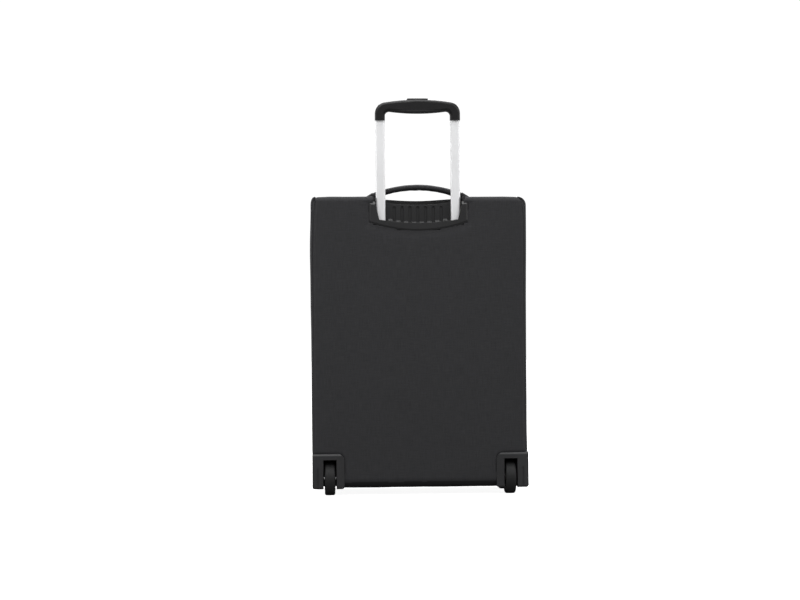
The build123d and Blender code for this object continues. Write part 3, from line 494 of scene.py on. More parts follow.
def stitches(name, path, body, length=2.7, gap=0.9, r=0.42, normal=None, mat=None, lift=0.05):
    """A row of thread stitches along points in mm; each dips into the cloth at its ends."""
    P = [Vector(p) for p in path]
    L = [0.0]
    for i in range(1, len(P)):
        L.append(L[-1] + (P[i] - P[i - 1]).length)
    def at(d):
        d = max(0.0, min(L[-1], d))
        k = 0
        lo, hi = 0, len(L) - 1
        while hi - lo > 1:
            m = (lo + hi) // 2
            if L[m] <= d:
                lo = m
            else:
                hi = m
        t = (d - L[lo]) / max(1e-9, L[lo + 1] - L[lo])
        return P[lo].lerp(P[lo + 1], t)
    verts, faces = [], []
    n = int(L[-1] / (length + gap))
    prof = [(-0.5, 0.35, -0.5), (-0.3, 1.0, 0.0), (0.3, 1.0, 0.0), (0.5, 0.35, -0.5)]
    for i in range(n):
        d0 = (i + 0.5) * (length + gap)
        c = at(d0)
        T = (at(d0 + length / 2) - at(d0 - length / 2))
        if T.length < 1e-6:
            continue
        T.normalize()
        nn = normal(c) if callable(normal) else Vector(normal)
        nn = (nn - T * nn.dot(T)).normalized()
        B = T.cross(nn)
        base = len(verts)
        for (s, rad, dz) in prof:
            o_ = c + T * (s * length) + nn * (lift + dz * r)
            for k in range(6):
                a = 2 * math.pi * k / 6
                verts.append(tuple(o_ + (nn * math.cos(a) + B * math.sin(a)) * r * rad))
        for q in range(3):
            for k in range(6):
                faces.append((base + q * 6 + k, base + q * 6 + (k + 1) % 6, base + (q + 1) * 6 + (k + 1) % 6, base + (q + 1) * 6 + k))
        faces.append(tuple(base + k for k in range(6))[::-1])
        faces.append(tuple(base + 18 + k for k in range(6)))
    o = build(name, verts, faces, mat or M["thread"])
    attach(o, body)
    return o


def zip_teeth(name, path, out_dir, across_dir, body, pitch=1.5, width=2.3, r=0.62, side=0.0):
    """Coil teeth: one rounded loop per pitch along the path. out_dir and across_dir are functions of the point."""
    P = resample(path, pitch)
    verts, faces = [], []
    seg = 6
    for i in range(len(P) - 1):
        c = (P[i] + P[i + 1]) / 2
        T = (P[i + 1] - P[i]).normalized()
        n = Vector(out_dir(c)).normalized()
        a = Vector(across_dir(c)).normalized()
        base = len(verts)
        stations = [(-0.5, -0.30), (-0.36, 0.16), (0.0, 0.34), (0.36, 0.16), (0.5, -0.30)]
        for (s, h) in stations:
            o_ = c + a * (s * width + side) + n * (h * 1.2) + T * (s * pitch * 0.35)
            for k in range(seg):
                an = 2 * math.pi * k / seg
                verts.append(tuple(o_ + (n * math.cos(an) + T * math.sin(an)) * r))
        m = len(stations)
        for q in range(m - 1):
            for k in range(seg):
                faces.append((base + q * seg + k, base + q * seg + (k + 1) % seg, base + (q + 1) * seg + (k + 1) % seg, base + (q + 1) * seg + k))
        faces.append(tuple(base + k for k in range(seg))[::-1])
        faces.append(tuple(base + (m - 1) * seg + k for k in range(seg)))
    o = build(name, verts, faces, M["coil"])
    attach(o, body)
    return o


# ------------------------------------------------------------------ body shell
PLATE_X = 85.0

def half_width(z):
    """Half width of the bag between the side panels at height z: fuller towards the top."""
    return 195.4 + 2.1 * smooth01((z - 190) / 330.0)


def settle(x, y, z):
    """The soft top sinks a little towards the rear, more on the right."""
    d = (1.5 + 1.3 * smooth01((30 - x) / 150.0)) * smooth01((y - 5) / 55.0)
    return z - d * smooth01((z - 470) / 76.0)


def side_shift(sx, z):
    if sx > 0:
        return 0.6 - 1.7 * smooth01((z - 440) / 90.0)
    return -0.4 - 0.9 * smooth01((470 - z) / 120.0) * smooth01((z - 60) / 60.0)


def slump(sx, y, z):
    """The right-hand top corner at the rear has settled rounder than the left."""
    if sx > 0 or z < 535.6:
        return 0.0
    q = min(1.0, (z - 535.6) / 13.6)
    return 6.8 * smooth01((y + 20) / 60.0) * (1 - math.sqrt(max(0.0, 1 - q * q)))


def plate_arc(x):
    """Height of the lower edge of the trolley plate."""
    t = min(1.0, abs(x) / 93.5)
    return 484.0 + 17.0 * t * t


def plate_gap(x, z):
    """Distance from a point of the rear face to the raised rim of the trolley plate."""
    if z > 501:
        return abs(x) - 93.5
    if abs(x) < 93.5:
        return plate_arc(x) - z
    return math.hypot(abs(x) - 93.5, 501 - z)


def rear_offset(x, z, e):
    """How far the rear cloth stands off its flat plane; e is 1 in the middle and 0 at the side seams."""
    roll = -3.3 * (1 - smooth01(e / 0.021))
    pad = 0.9 * smooth01(e / 0.16)
    wrk = 0.55 * nz(x, 90, z, 85.0, 1.0) + 0.28 * nz(x, 90, z, 34.0, 2.0) + 0.10 * nz(x, 90, z, 13.0, 3.0)
    pull = 0.22 * math.sin(z / 17.0 + 2.2 * nz(0, 90, z, 60.0, 4.0)) * (1 - smooth01(e / 0.10)) * smooth01(e / 0.02)
    d = roll + pad + (wrk + pull) * smooth01(e / 0.05)
    k = smooth01(plate_gap(x, z) / 13.0)
    d = d * k - 0.45 * (1 - k)
    h = math.hypot(max(154 - abs(x), 0.0), max(z - 64, 0.0)) - 14.0      # from the edge of a wheel housing
    if h > -6:
        d -= 1.7 * math.exp(-(max(h, 0.0) / 1.9) ** 2) * smooth01((z - 34.0) / 12.0)
    return d


def wrap_profile():
    """(s kind, Y, Z, normal) down the middle: front edge of the top, over the rear, to the front edge of the bottom."""
    pts = []
    r1, r2 = 6.5, 15.0
    top, rear, bot = 549.0, 90.0, 17.6
    ys = clustered(-42.0, rear - r1, 4.0, edge=(0.0, 1.2, 3.0), extra=(9.0, 11.5))
    for y in ys:
        pts.append((y, top, 0.0, 1.0, "top"))
    for i in range(1, 7):
        a = math.pi / 2 * (1 - i / 7)
        pts.append((rear - r1 + r1 * math.cos(a), top - r1 + r1 * math.sin(a), math.cos(a), math.sin(a), "edge"))
    zs = sorted(clustered(bot + r2, top - r1, 4.2, edge=(0.0, 2.0, 4.0), extra=(76.0, 77.4, 78.6, 79.8, 81.2, 83.0, 494.0, 498.0, 502.0, 506.0, 510.0)), reverse=True)
    for z in zs:
        pts.append((rear, z, 1.0, 0.0, "rear"))
    for i in range(1, 17):
        a = -math.pi / 2 * i / 17
        pts.append((rear - r2 + r2 * math.cos(a), bot + r2 + r2 * math.sin(a), math.cos(a), math.sin(a), "edge"))
    for y in sorted(clustered(-42.0, rear - r2, 4.5, edge=(0.0, 1.2, 3.0), extra=(27.5, 30.0)), reverse=True):
        pts.append((y, bot, 0.0, -1.0, "bottom"))
    return pts


def shell_wrap():
    prof = wrap_profile()
    xs = clustered(-1.0, 1.0, 0.0245, edge=(0.0, 0.004, 0.009, 0.016, 0.025, 0.036), extra=tuple(s * v / 194.3 for s in (-1, 1) for v in (84.0, 86.2, 88.4, 91.0, 93.6, 95.6, 98.0, 101.0, 134.0, 136.2, 137.8, 139.0, 140.2, 141.8, 146.0)))
    rows = []
    for (y, z, ny, nz_, kind) in prof:
        w = 194.4
        if z > 500:
            w = 194.4 - 3.6 * smooth01((z - 500) / 48.0)
        w_l, w_r = 1 + side_shift(1, z) / 194.0, 1 + side_shift(-1, z) / 194.0
        if kind in ("top",):
            w = 190.9
        row = []
        for t in xs:
            x = t * (w_r if t < 0 else w_l) * (w - (slump(-1, y, z if kind != "top" else 549.6) if t < 0 else 0.0))
            e = 1 - abs(t)                                   # 0 at the seam
            roll = -2.2 * (1 - smooth01(e / 0.022))          # rolls in to the piping
            pad = 0.9 * smooth01(e / 0.16)
            d = roll + pad
            wrk = 0.55 * nz(x, y, z, 85.0, 1.0) + 0.28 * nz(x, y, z, 34.0, 2.0) + 0.10 * nz(x, y, z, 13.0, 3.0)
            # faint upright tension lines near the side seams
            pull = 0.22 * math.sin(z / 17.0 + 2.2 * nz(0, y, z, 60.0, 4.0)) * (1 - smooth01(e / 0.10)) * smooth01(e / 0.02)
            d += (wrk + pull) * smooth01(e / 0.05)
            if kind == "rear" or (kind == "edge" and z < 60):
                d = rear_offset(x, z, e)
            if kind == "top":
                # the top sinks between the handle mounts, and meets the lip of the plate's trough level with it
                c = math.cos(math.pi * min(abs(x), 100.0) / 200.0)
                d = d * (1 - c * c) - 3.7 * c * c
            row.append((x, y + ny * d, settle(x, y, z + nz_ * d) if kind != "bottom" else z + nz_ * d))
        rows.append(row)
    kinds = [p[4] for p in prof]

    def keep(i, j):
        y = (prof[i][0] + prof[i + 1][0]) / 2
        z = (prof[i][1] + prof[i + 1][1]) / 2
        x = (rows[i][j][0] + rows[i][j + 1][0]) / 2
        top = z > 540
        if top and abs(x) < 84.2 and y > 10.5:
            return False
        if y > 80 and z > 541:
            return abs(x) >= 84.4
        if y > 80 and abs(x) < 91.0 and z > plate_arc(x) + 3.0 and not (abs(x) > 86 and z < 501 and math.hypot(abs(x) - 86, 507 - z) > 6.5):
            return False
        if abs(x) > 141.9 and z < 76.5 and y > 27.5:
            cx, cz = 154.0, 64.0
            if abs(x) < cx and z > cz and math.hypot(abs(x) - cx, z - cz) > 12.5 and y > 80:
                return True
            if y > 72 or z < 35 + (y - 26) * 0.9:
                return False
        return True

    verts, faces = grid(rows, keep=keep, flip=False)
    o = build("shell_wrap", verts, faces, M["shell"], grid_uv(rows))
    # faces below 26 mm take the darker bottom cloth, which paints shade on the bottom rounding
    o.data.materials.append(M["base"])
    for p in o.data.polygons:
        if p.center[2] < 0.0262:
            p.material_index = 1
    solidify(o, 2.6)
    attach(o, "case")
    return o


def side_panel(sx):
    """One side of the body: fabric over foam, its edges rolling in to the piping, the zip tape and the bottom."""
    ys = clustered(-42.0, 88.0, 4.2, edge=(0.0, 0.7, 1.6, 3.0, 5.0, 7.5))
    zs = clustered(17.8, 549.4, 4.6, edge=(0.0, 0.4, 1.0, 1.9, 3.2, 5.0, 7.2, 10.0, 13.5))
    rows = []
    for z in zs:
        row = []
        for y in ys:
            x = half_width(z)
            rt = 12.5
            if z > 549.4 - rt:
                q = (z - (549.4 - rt)) / rt
                x -= 4.8 * (1 - math.sqrt(max(0.0, 1 - q * q)))
            x -= slump(sx, y, z)
            rb = 12.0
            if z < 17.8 + rb:
                q = (17.8 + rb - z) / rb
                x -= 4.6 * (1 - math.sqrt(max(0.0, 1 - q * q)))
            rr_ = 5.0
            if y > 88 - rr_:
                q = (y - (88 - rr_)) / rr_
                x -= 2.6 * (1 - math.sqrt(max(0.0, 1 - q * q)))
            ey = min(1.0, (y + 42) / 22.0, (88 - y) / 22.0)
            ez = min(1.0, (z - 17.8) / 40.0, (549.4 - z) / 40.0)
            crown = 0.5 * smooth01(ey) * smooth01(ez)
            wr = (0.55 * nz(sx * 200, y, z, 70.0, 5.0 + sx) + 0.25 * nz(sx * 200, y, z, 28.0, 6.0 + sx)) * smooth01(ey * 1.5) * smooth01(ez * 1.5)
            if y < -38:
                x -= 0.5 * (1 - (y + 42) / 4.0)
            x += crown + wr
            x += side_shift(sx, z)
            row.append((sx * x, y, settle(sx * x, y, z)))
        rows.append(row)
    verts, faces = grid(rows, flip=(sx < 0))
    o = build("side_panel_left" if sx > 0 else "side_panel_right", verts, faces, M["gusset"], grid_uv(rows))
    solidify(o, 2.6)
    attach(o, "case")
    return o


wrap = shell_wrap()
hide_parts("rear_panel")
sides = [side_panel(1), side_panel(-1)]
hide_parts("body_gusset")


def piping_path(sx):
    pts = [(196.4, 87.8, 79.2), (196.5, 87.9, 140), (196.4, 87.9, 250), (196.9, 88.0, 360), (197.0, 88.0, 460), (196.3, 87.9, 505), (195.0, 87.8, 528), (193.7, 87.2, 541),
           (192.9, 84.2, 546.8), (192.6, 78.5, 548.7), (192.6, 70.0, 548.9), (192.6, 40.0, 548.8), (192.6, 0.0, 548.8), (192.7, -36.0, 548.8), (193.0, -40.5, 547.8), (193.2, -43.0, 546.2)]
    return [(sx * (x - slump(sx, y, z) + side_shift(sx, z)), y, settle(sx * x, y, z)) for x, y, z in densify(pts, 3.0)]


def piping_bottom(sx):
    pts = [(194.3, 25.8, 18.6), (194.3, 0, 18.6), (194.3, -41.8, 18.7)]
    return [(sx * x, y, z) for x, y, z in densify(pts, 4.0)]


for sx, nm in ((1, "left"), (-1, "right")):
    p = tube(f"piping_{nm}", piping_path(sx), 2.1, M["piping"], seg=12)
    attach(p, "case")
    q = tube(f"piping_bottom_{nm}", piping_bottom(sx), 1.6, M["piping"], seg=10)
    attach(q, "case")
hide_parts("rear_piping")

# ------------------------------------------------------------------ rounded-rectangle grids
HW, Z0, Z1 = 197.4, 18.0, 549.2


def boxdist(x, z, hw, z0, z1, r):
    """How far inside a rounded rectangle a point lies."""
    qx, qz = abs(x) - hw + r, abs(z - (z0 + z1) / 2) - (z1 - z0) / 2 + r
    return r - min(max(qx, qz), 0.0) - math.hypot(max(qx, 0.0), max(qz, 0.0))


def round_grid(hw, z0, z1, r, step, edge=(0.0, 0.8, 1.8, 3.2, 5.0, 7.5), ex=(), ez=()):
    """Grid of (x, z) over a rounded rectangle; its border follows the outline."""
    xs = clustered(-hw, hw, step, edge=edge, extra=ex)
    zs = clustered(z0, z1, step, edge=edge, extra=ez)
    zc, hh = (z0 + z1) / 2, (z1 - z0) / 2
    out = []
    for z in zs:
        row = []
        for x in xs:
            u, v = (abs(x) - hw + r) / r, (abs(z - zc) - hh + r) / r
            X, Zz = x, z
            if u > 0 and v > 0:
                X = math.copysign(hw - r + r * u * math.sqrt(1 - v * v / 2), x)
                Zz = zc + math.copysign(hh - r + r * v * math.sqrt(1 - u * u / 2), z - zc)
            row.append((X, Zz))
        out.append(row)
    return out


def out_normal(x, z, hw, z0, z1, r):
    zc, hh = (z0 + z1) / 2, (z1 - z0) / 2
    qx, qz = abs(x) - hw + r, abs(z - zc) - hh + r
    if qx > 0 and qz > 0:
        k = math.hypot(qx, qz)
        nx, nz_ = qx / k, qz / k
    elif qx > qz:
        nx, nz_ = 1.0, 0.0
    else:
        nx, nz_ = 0.0, 1.0
    return math.copysign(nx, x), math.copysign(nz_, z - zc)


def tray(name, hw, z0, z1, r, step, face, skirt, mat, ex=(), ez=(), edge=(0.0, 0.8, 1.8, 3.2, 5.0, 7.5), flip=False):
    """A face y = face(x, z, e) over a rounded rectangle, then a skirt of (outward, y) rows round its border."""
    G2 = round_grid(hw, z0, z1, r, step, edge, ex, ez)
    verts, uvs = [], []
    nz2, nx2 = len(G2), len(G2[0])
    for row in G2:
        for x, z in row:
            verts.append((x, face(x, z, boxdist(x, z, hw, z0, z1, r)), z))
            uvs.append((x * MM, z * MM))
    faces = []
    for i in range(nz2 - 1):
        for j in range(nx2 - 1):
            a = i * nx2 + j
            f = (a, a + 1, a + nx2 + 1, a + nx2)
            faces.append(f[::-1] if flip else f)
    ringi = [j for j in range(nx2)] + [i * nx2 + nx2 - 1 for i in range(1, nz2)] + [(nz2 - 1) * nx2 + j for j in range(nx2 - 2, -1, -1)] + [i * nx2 for i in range(nz2 - 2, 0, -1)]
    prev = ringi
    base = [(verts[i][0], verts[i][1], verts[i][2]) for i in ringi]
    nrm = [out_normal(b[0], b[2], hw, z0, z1, r) for b in base]
    acc = [0.0] * len(ringi)
    last = base
    for sk in skirt:
        cur, pts = [], []
        for k, (bx, by, bz) in enumerate(base):
            o_, y_ = sk(bx, by, bz) if callable(sk) else sk
            p = (bx + nrm[k][0] * o_, y_, bz + nrm[k][1] * o_)
            acc[k] += math.dist(p, last[k])
            pts.append(p)
            cur.append(len(verts))
            verts.append(p)
            uvs.append(((bx + nrm[k][0] * acc[k]) * MM, (bz + nrm[k][1] * acc[k]) * MM))
        n = len(cur)
        for k in range(n):
            f = (prev[k], cur[k], cur[(k + 1) % n], prev[(k + 1) % n])
            faces.append(f[::-1] if flip else f)
        prev, last = cur, pts
    return build(name, verts, faces, mat, uvs)


def outline(inset, r, step=4.0):
    """Open outline of the bag from the top end of the hinge, over the top and round to its bottom end, in the XZ plane."""
    full = rrect(HW - inset, Z0 + inset, Z1 - inset, max(r - inset, 1.0), 0.0, step)
    pts = [(p[0], p[2]) for p in full]
    n = len(pts)
    k0 = min(range(n), key=lambda i: abs(pts[i][1] - 507) + (1000 if pts[i][0] < 0 else 0) + (500 if abs(pts[i][0]) < HW - inset - 1 else 0))
    k1 = min(range(n), key=lambda i: abs(pts[i][1] - 60) + (1000 if pts[i][0] < 0 else 0) + (500 if abs(pts[i][0]) < HW - inset - 1 else 0))
    out = []
    k = k0
    while k != k1:
        out.append(pts[k])
        k = (k + 1) % n
    out.append(pts[k1])
    return out


def out_dir_of(c):
    """Outward direction of the bag's outline at a point."""
    nx, nz_ = out_normal(c[0], c[2], HW, Z0, Z1, 9.0)
    return (nx, 0, nz_)


def band(name, rows, mat, uv_scale=1.0, closed=False):
    """A strip lofted through rows of 3-D points, thickened by the caller."""
    verts, faces = grid(rows, close_v=closed)
    L = [0.0]
    for j in range(1, len(rows[0])):
        L.append(L[-1] + math.dist(rows[0][j], rows[0][j - 1]))
    uvs = []
    w = 0.0
    for i, row in enumerate(rows):
        if i:
            w += math.dist(rows[i][len(row) // 2], rows[i - 1][len(row) // 2])
        uvs += [(w * MM, L[j] * MM) for j in range(len(row))]
    return build(name, verts, faces, mat, uvs)


def loft_outline(name, stations, mat, closed=False, r=9.0):
    """stations: (inset, y). Rows follow the bag's outline; r is its corner radius."""
    rows = []
    for inset, y in stations:
        pts = outline(inset, r) if not closed else [(p[0], p[2]) for p in rrect(HW - inset, Z0 + inset, Z1 - inset, max(r - inset, 1.0), 0.0, 4.0)]
        rows.append([(p[0], y, p[1]) for p in pts])
    n = min(len(q) for q in rows)
    rows = [[tuple(v) for v in ([q[round(k * (len(q) - 1) / (n - 1))] for k in range(n)] if len(q) != n else q)] for q in rows]
    return band(name, rows, mat, closed=closed)


# ------------------------------------------------------------------ main zip
for side_name, body, y_in, y_out, sgn in (("body", "case", -40.5, -47.7, 1), ("lid", "lid", -55.5, -48.3, -1)):
    ys = lin(y_in, y_out, 5)
    t = loft_outline(f"zip_tape_{side_name}_cloth", [(1.5, y) for y in ys], M["tape"])
    solidify(t, 0.8, offset=0.0)
    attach(t, body)
    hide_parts(f"zip_tape_{side_name}")
    pts = [(p[0], -48.0 + sgn * 1.25, p[1]) for p in outline(1.3, 9.0)]
    c = zip_teeth(f"zip_teeth_{side_name}", pts, out_dir_of, lambda c: (0, 1, 0), body, pitch=1.9, width=2.2, r=0.55)
    pts = [(p[0], -48.0 + sgn * 4.3, p[1]) for p in outline(1.0, 9.0)]
    stitches(f"zip_seam_{side_name}", resample(pts, 3.0), body, length=2.6, gap=1.0, r=0.3, normal=lambda c: Vector(out_dir_of(c)), lift=0.1)

# folded hem of the body's mouth and of the lid's, between lining and tape
for nm, body, rows_ in (("mouth_binding_body", "case", [(1.9, -44.6), (2.4, -45.6), (3.6, -46.2), (5.2, -45.8), (6.8, -44.6), (8.2, -42.4), (8.8, -39.6)]),
                        ("mouth_binding_lid", "lid", [(1.9, -51.4), (2.4, -50.6), (3.4, -50.2), (4.6, -50.8), (5.6, -52.4), (6.0, -54.6)])):
    b_ = loft_outline(nm, rows_, M["binding"], closed=True)
    solidify(b_, 0.7, offset=0.0)
    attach(b_, body)

# cloth hinge on the left-hand side
rows = []
for y in lin(-38.5, -57.5, 25):
    row = []
    for z in lin(58.0, 509.0, 92):
        e = min(y + 57.5, -38.5 - y)
        x = half_width(z) + 1.25 - 0.9 * (1 - smooth01(e / 2.2)) - 0.35 * math.exp(-((y + 48.0) / 1.6) ** 2)
        row.append((x, y, z))
    rows.append(row)
hinge = band("cloth_hinge", rows, M["binding"])
for zz, yy, bd in ((1, -40.6, "case"), (1, -55.4, "lid")):
    stitches(f"hinge_stitch_{bd}", [(half_width(z) + 1.45, yy, z) for z in lin(62, 505, 60)], bd, length=2.7, gap=1.0, r=0.32, normal=(1, 0, 0))
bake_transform(hinge)

# ------------------------------------------------------------------ lid ring and front panel
def lid_ring():
    full = rrect(HW, Z0, Z1, 9.0, 0.0, 4.5)
    full2 = rrect(HW, Z0, Z1, 12.5, 0.0, 4.5)
    ys = [-54.0, -54.4, -55.0, -56.0, -57.6, -60.0, -63.0, -66.0, -69.0, -72.0, -74.6, -76.6, -77.8, -78.5]
    rows = []
    for y in ys:
        t = (y + 54.0) / (-24.5)
        r = 9.0 + 3.5 * t
        n = rrect(HW, Z0, Z1, 9.0, 0.0, 4.5)
        row = []
        for p in n:
            x, z = p[0], p[2]
            # move the corner points onto the rounder corner of the front edge
            nx, nz_ = out_normal(x, z, HW, Z0, Z1, 9.0)
            e = boxdist(x, z, HW, Z0, Z1, r)
            x, z = x + nx * min(0.0, e), z + nz_ * min(0.0, e)
            ey = min(t, 1 - t) * 24.5
            roll = -1.5 * (1 - smooth01(ey / 2.6))
            d = roll + 0.7 * smooth01(ey / 9.0) + 0.4 * nz(x, y, z, 60.0, 9.0) * smooth01(ey / 5)
            if abs(nx) > 0.5:
                d += (half_width(z) - HW) * smooth01((z - 30) / 30.0) if z > 30 else (half_width(40) - HW) * 0.6
            row.append((x + nx * d, y, z + nz_ * d))
        rows.append(row)
    verts, faces = grid(rows, close_v=True)
    us = [0.0]
    for j in range(1, len(rows[0])):
        us.append(us[-1] + math.dist(rows[5][j], rows[5][j - 1]))
    uvs = [(us[j] * MM, -ys[i] * MM) for i in range(len(rows)) for j in range(len(rows[0]))]
    o = build("lid_side_band", verts, faces, M["gusset"], uvs)
    solidify(o, 2.4)
    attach(o, "lid")
    return o


lid_band = lid_ring()
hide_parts("lid_gusset")


def panel_y(x, z, e):
    crown = 1.6 * smooth01(e / 70.0)
    roll = 1.7 * (1 - smooth01(e / 3.2))
    wr = (0.45 * nz(x, 0, z, 80.0, 11.0) + 0.2 * nz(x, 0, z, 30.0, 12.0)) * smooth01(e / 8.0)
    return -80.2 - crown + roll - wr


lid_front = tray("lid_front_cloth", 194.6, 20.8, 546.4, 11.0, 6.0, panel_y, [(0.5, -77.4)], M["shell"])
solidify(lid_front, 2.0)
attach(lid_front, "lid")
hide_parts("lid_panel")

pipe_front = [(p[0], -78.9, p[2]) for p in rrect(HW - 0.9, Z0 + 0.9, Z1 - 0.9, 12.0, 0.0, 3.2)]
pipe_front = resample(pipe_front, 3.2, closed=True)
lp_ = tube("lid_piping_cord", pipe_front, 2.0, M["piping"], seg=12, closed=True, up=(0, 1, 0))
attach(lp_, "lid")
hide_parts("lid_piping")

# ------------------------------------------------------------------ outside pockets
def pocket(nm, hw, z0, z1, r, y_face, slot_z, seed):
    def face(x, z, e):
        dz = abs(z - slot_z)
        inx = hw - 11.0 - abs(x)
        crown = 1.9 * smooth01(e / 55.0) * (1 - 0.55 * math.exp(-(dz / 22.0) ** 2))
        base = y_face - 0.9 - crown
        wr = (0.7 * nz(x, 0, z, 75.0, seed) + 0.32 * nz(x, 0, z, 27.0, seed + 1)) * smooth01(e / 10.0) * smooth01((dz - 7) / 16.0)
        # slack folds running down from the zip
        pull = 0.28 * math.sin(x / 8.5 + 3.0 * nz(x, 0, 0, 60.0, seed + 2)) * math.exp(-((dz - 12) / 11.0) ** 2) * smooth01(e / 12.0)
        y = base - wr - pull + 1.4 * (1 - smooth01(e / 3.0))
        ch = (1 - smooth01((dz - 5.6) / 0.8)) * smooth01(inx / 1.2)
        y = y * (1 - ch) + (y_face - 0.05) * ch
        lip = math.exp(-((dz - 7.4) / 1.1) ** 2) * smooth01(inx / 3.0) * 0.45
        return y - lip
    ez = tuple(slot_z + s * v for s in (-1, 1) for v in (5.4, 5.8, 6.2, 6.6, 7.4, 8.4, 9.6, 11.5))
    ex = tuple(s * (hw - v) for s in (-1, 1) for v in (10.2, 10.8, 11.4, 12.0))
    sk = [(0.7, y_face + 1.3), (1.1, y_face + 3.4), (1.2, y_face + 6.2), (1.1, y_face + 9.0), (1.3, y_face + 11.4), (2.2, y_face + 12.4), (3.6, y_face + 12.7)]
    o = tray(f"{nm}_cloth", hw - 1.6, z0 + 1.6, z1 - 1.6, r - 1.6, 5.6, face, sk, M["pocket"], ex=ex, ez=ez)
    solidify(o, 1.2)
    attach(o, "lid")
    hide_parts(nm)
    # piping along the pocket's front edge
    loop = [(p[0], y_face + 0.5, p[2]) for p in rrect(hw - 0.9, z0 + 0.9, z1 - 0.9, r - 0.9, 0.0, 3.2)]
    pp = tube(f"{nm}_piping", resample(loop, 3.2, closed=True), 1.35, M["piping"], seg=10, closed=True, up=(0, 1, 0))
    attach(pp, "lid")
    # tape and coil
    n = 80
    rows_ = [[(x, y_face - 0.35, slot_z + dz_) for x in lin(-(hw - 11.5), hw - 11.5, n)] for dz_ in lin(-6.2, 6.2, 9)]
    t_ = band(f"{nm}_zip_cloth", rows_, M["tape"])
    solidify(t_, 0.5, offset=0.0)
    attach(t_, "lid")
    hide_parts(f"{nm}_zip")
    for s_, off in ((1, 0.0), (-1, 0.8)):
        pts_ = [(x, y_face - 1.15, slot_z + s_ * 0.75) for x in lin(-(hw - 13.0) + off, hw - 13.0 + off, 200)]
        zip_teeth(f"{nm}_teeth_{'a' if s_ > 0 else 'b'}", pts_, lambda c: (0, -1, 0), lambda c: (0, 0, 1), "lid", pitch=1.6, width=2.0, r=0.42)
    for dz_ in (-9.2, 9.2):
        path = [(x, face(x, slot_z + dz_, 12.0) - 0.02, slot_z + dz_) for x in lin(-(hw - 12.0), hw - 12.0, 90)]
        stitches(f"{nm}_stitch_{'top' if dz_ > 0 else 'low'}", path, "lid", length=2.7, gap=1.0, r=0.3, normal=(0, -1, 0), lift=0.12)
    ring_ = [(p[0], p[2]) for p in rrect(hw - 6.0, z0 + 6.0, z1 - 6.0, r - 5.0, 0.0, 3.2)]
    path = [(x, face(x, z, boxdist(x, z, hw - 1.6, z0 + 1.6, z1 - 1.6, r - 1.6)), z) for x, z in ring_]
    stitches(f"{nm}_edge_stitch", path, "lid", length=2.7, gap=1.0, r=0.3, normal=(0, -1, 0), lift=0.1)
    # bar tacks and end stops of the zip
    for s_ in (-1, 1):
        x = s_ * (hw - 13.5)
        rows_ = [[(x + s_ * a, y_face - 1.6 - 0.35 * math.cos(b / 3.4 * math.pi / 2), slot_z + b) for b in lin(-3.4, 3.4, 9)] for a in lin(-1.6, 1.6, 4)]
        k_ = band(f"{nm}_end_stop_{'l' if s_ > 0 else 'r'}", rows_, M["coil"])
        solidify(k_, 1.2, offset=0.0)
        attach(k_, "lid")
    return o


pocket("upper_pocket", 168.0, 404.0, 524.0, 16.0, -93.4, 505.0, 21.0)
pocket("lower_pocket", 180.0, 42.0, 390.0, 20.0, -94.0, 370.0, 31.0)

# ------------------------------------------------------------------ lid inside
def lid_line_y(x, z, e):
    return -75.5 + (0.5 * nz(x, 0, z, 60.0, 41.0) + 0.25 * nz(x, 0, z, 22.0, 42.0)) * smooth01(e / 8.0)


lid_in = tray("lid_lining_cloth", 191.4, 24.0, 543.0, 10.0, 7.0, lid_line_y, [(0.4, -74.6), (0.7, -72.0), (0.8, -66.0), (0.6, -60.0), (0.2, -55.0), (0.1, -53.4)], M["lining"], flip=True)
solidify(lid_in, 0.6, offset=-1.0)
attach(lid_in, "lid")
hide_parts("lid_lining")


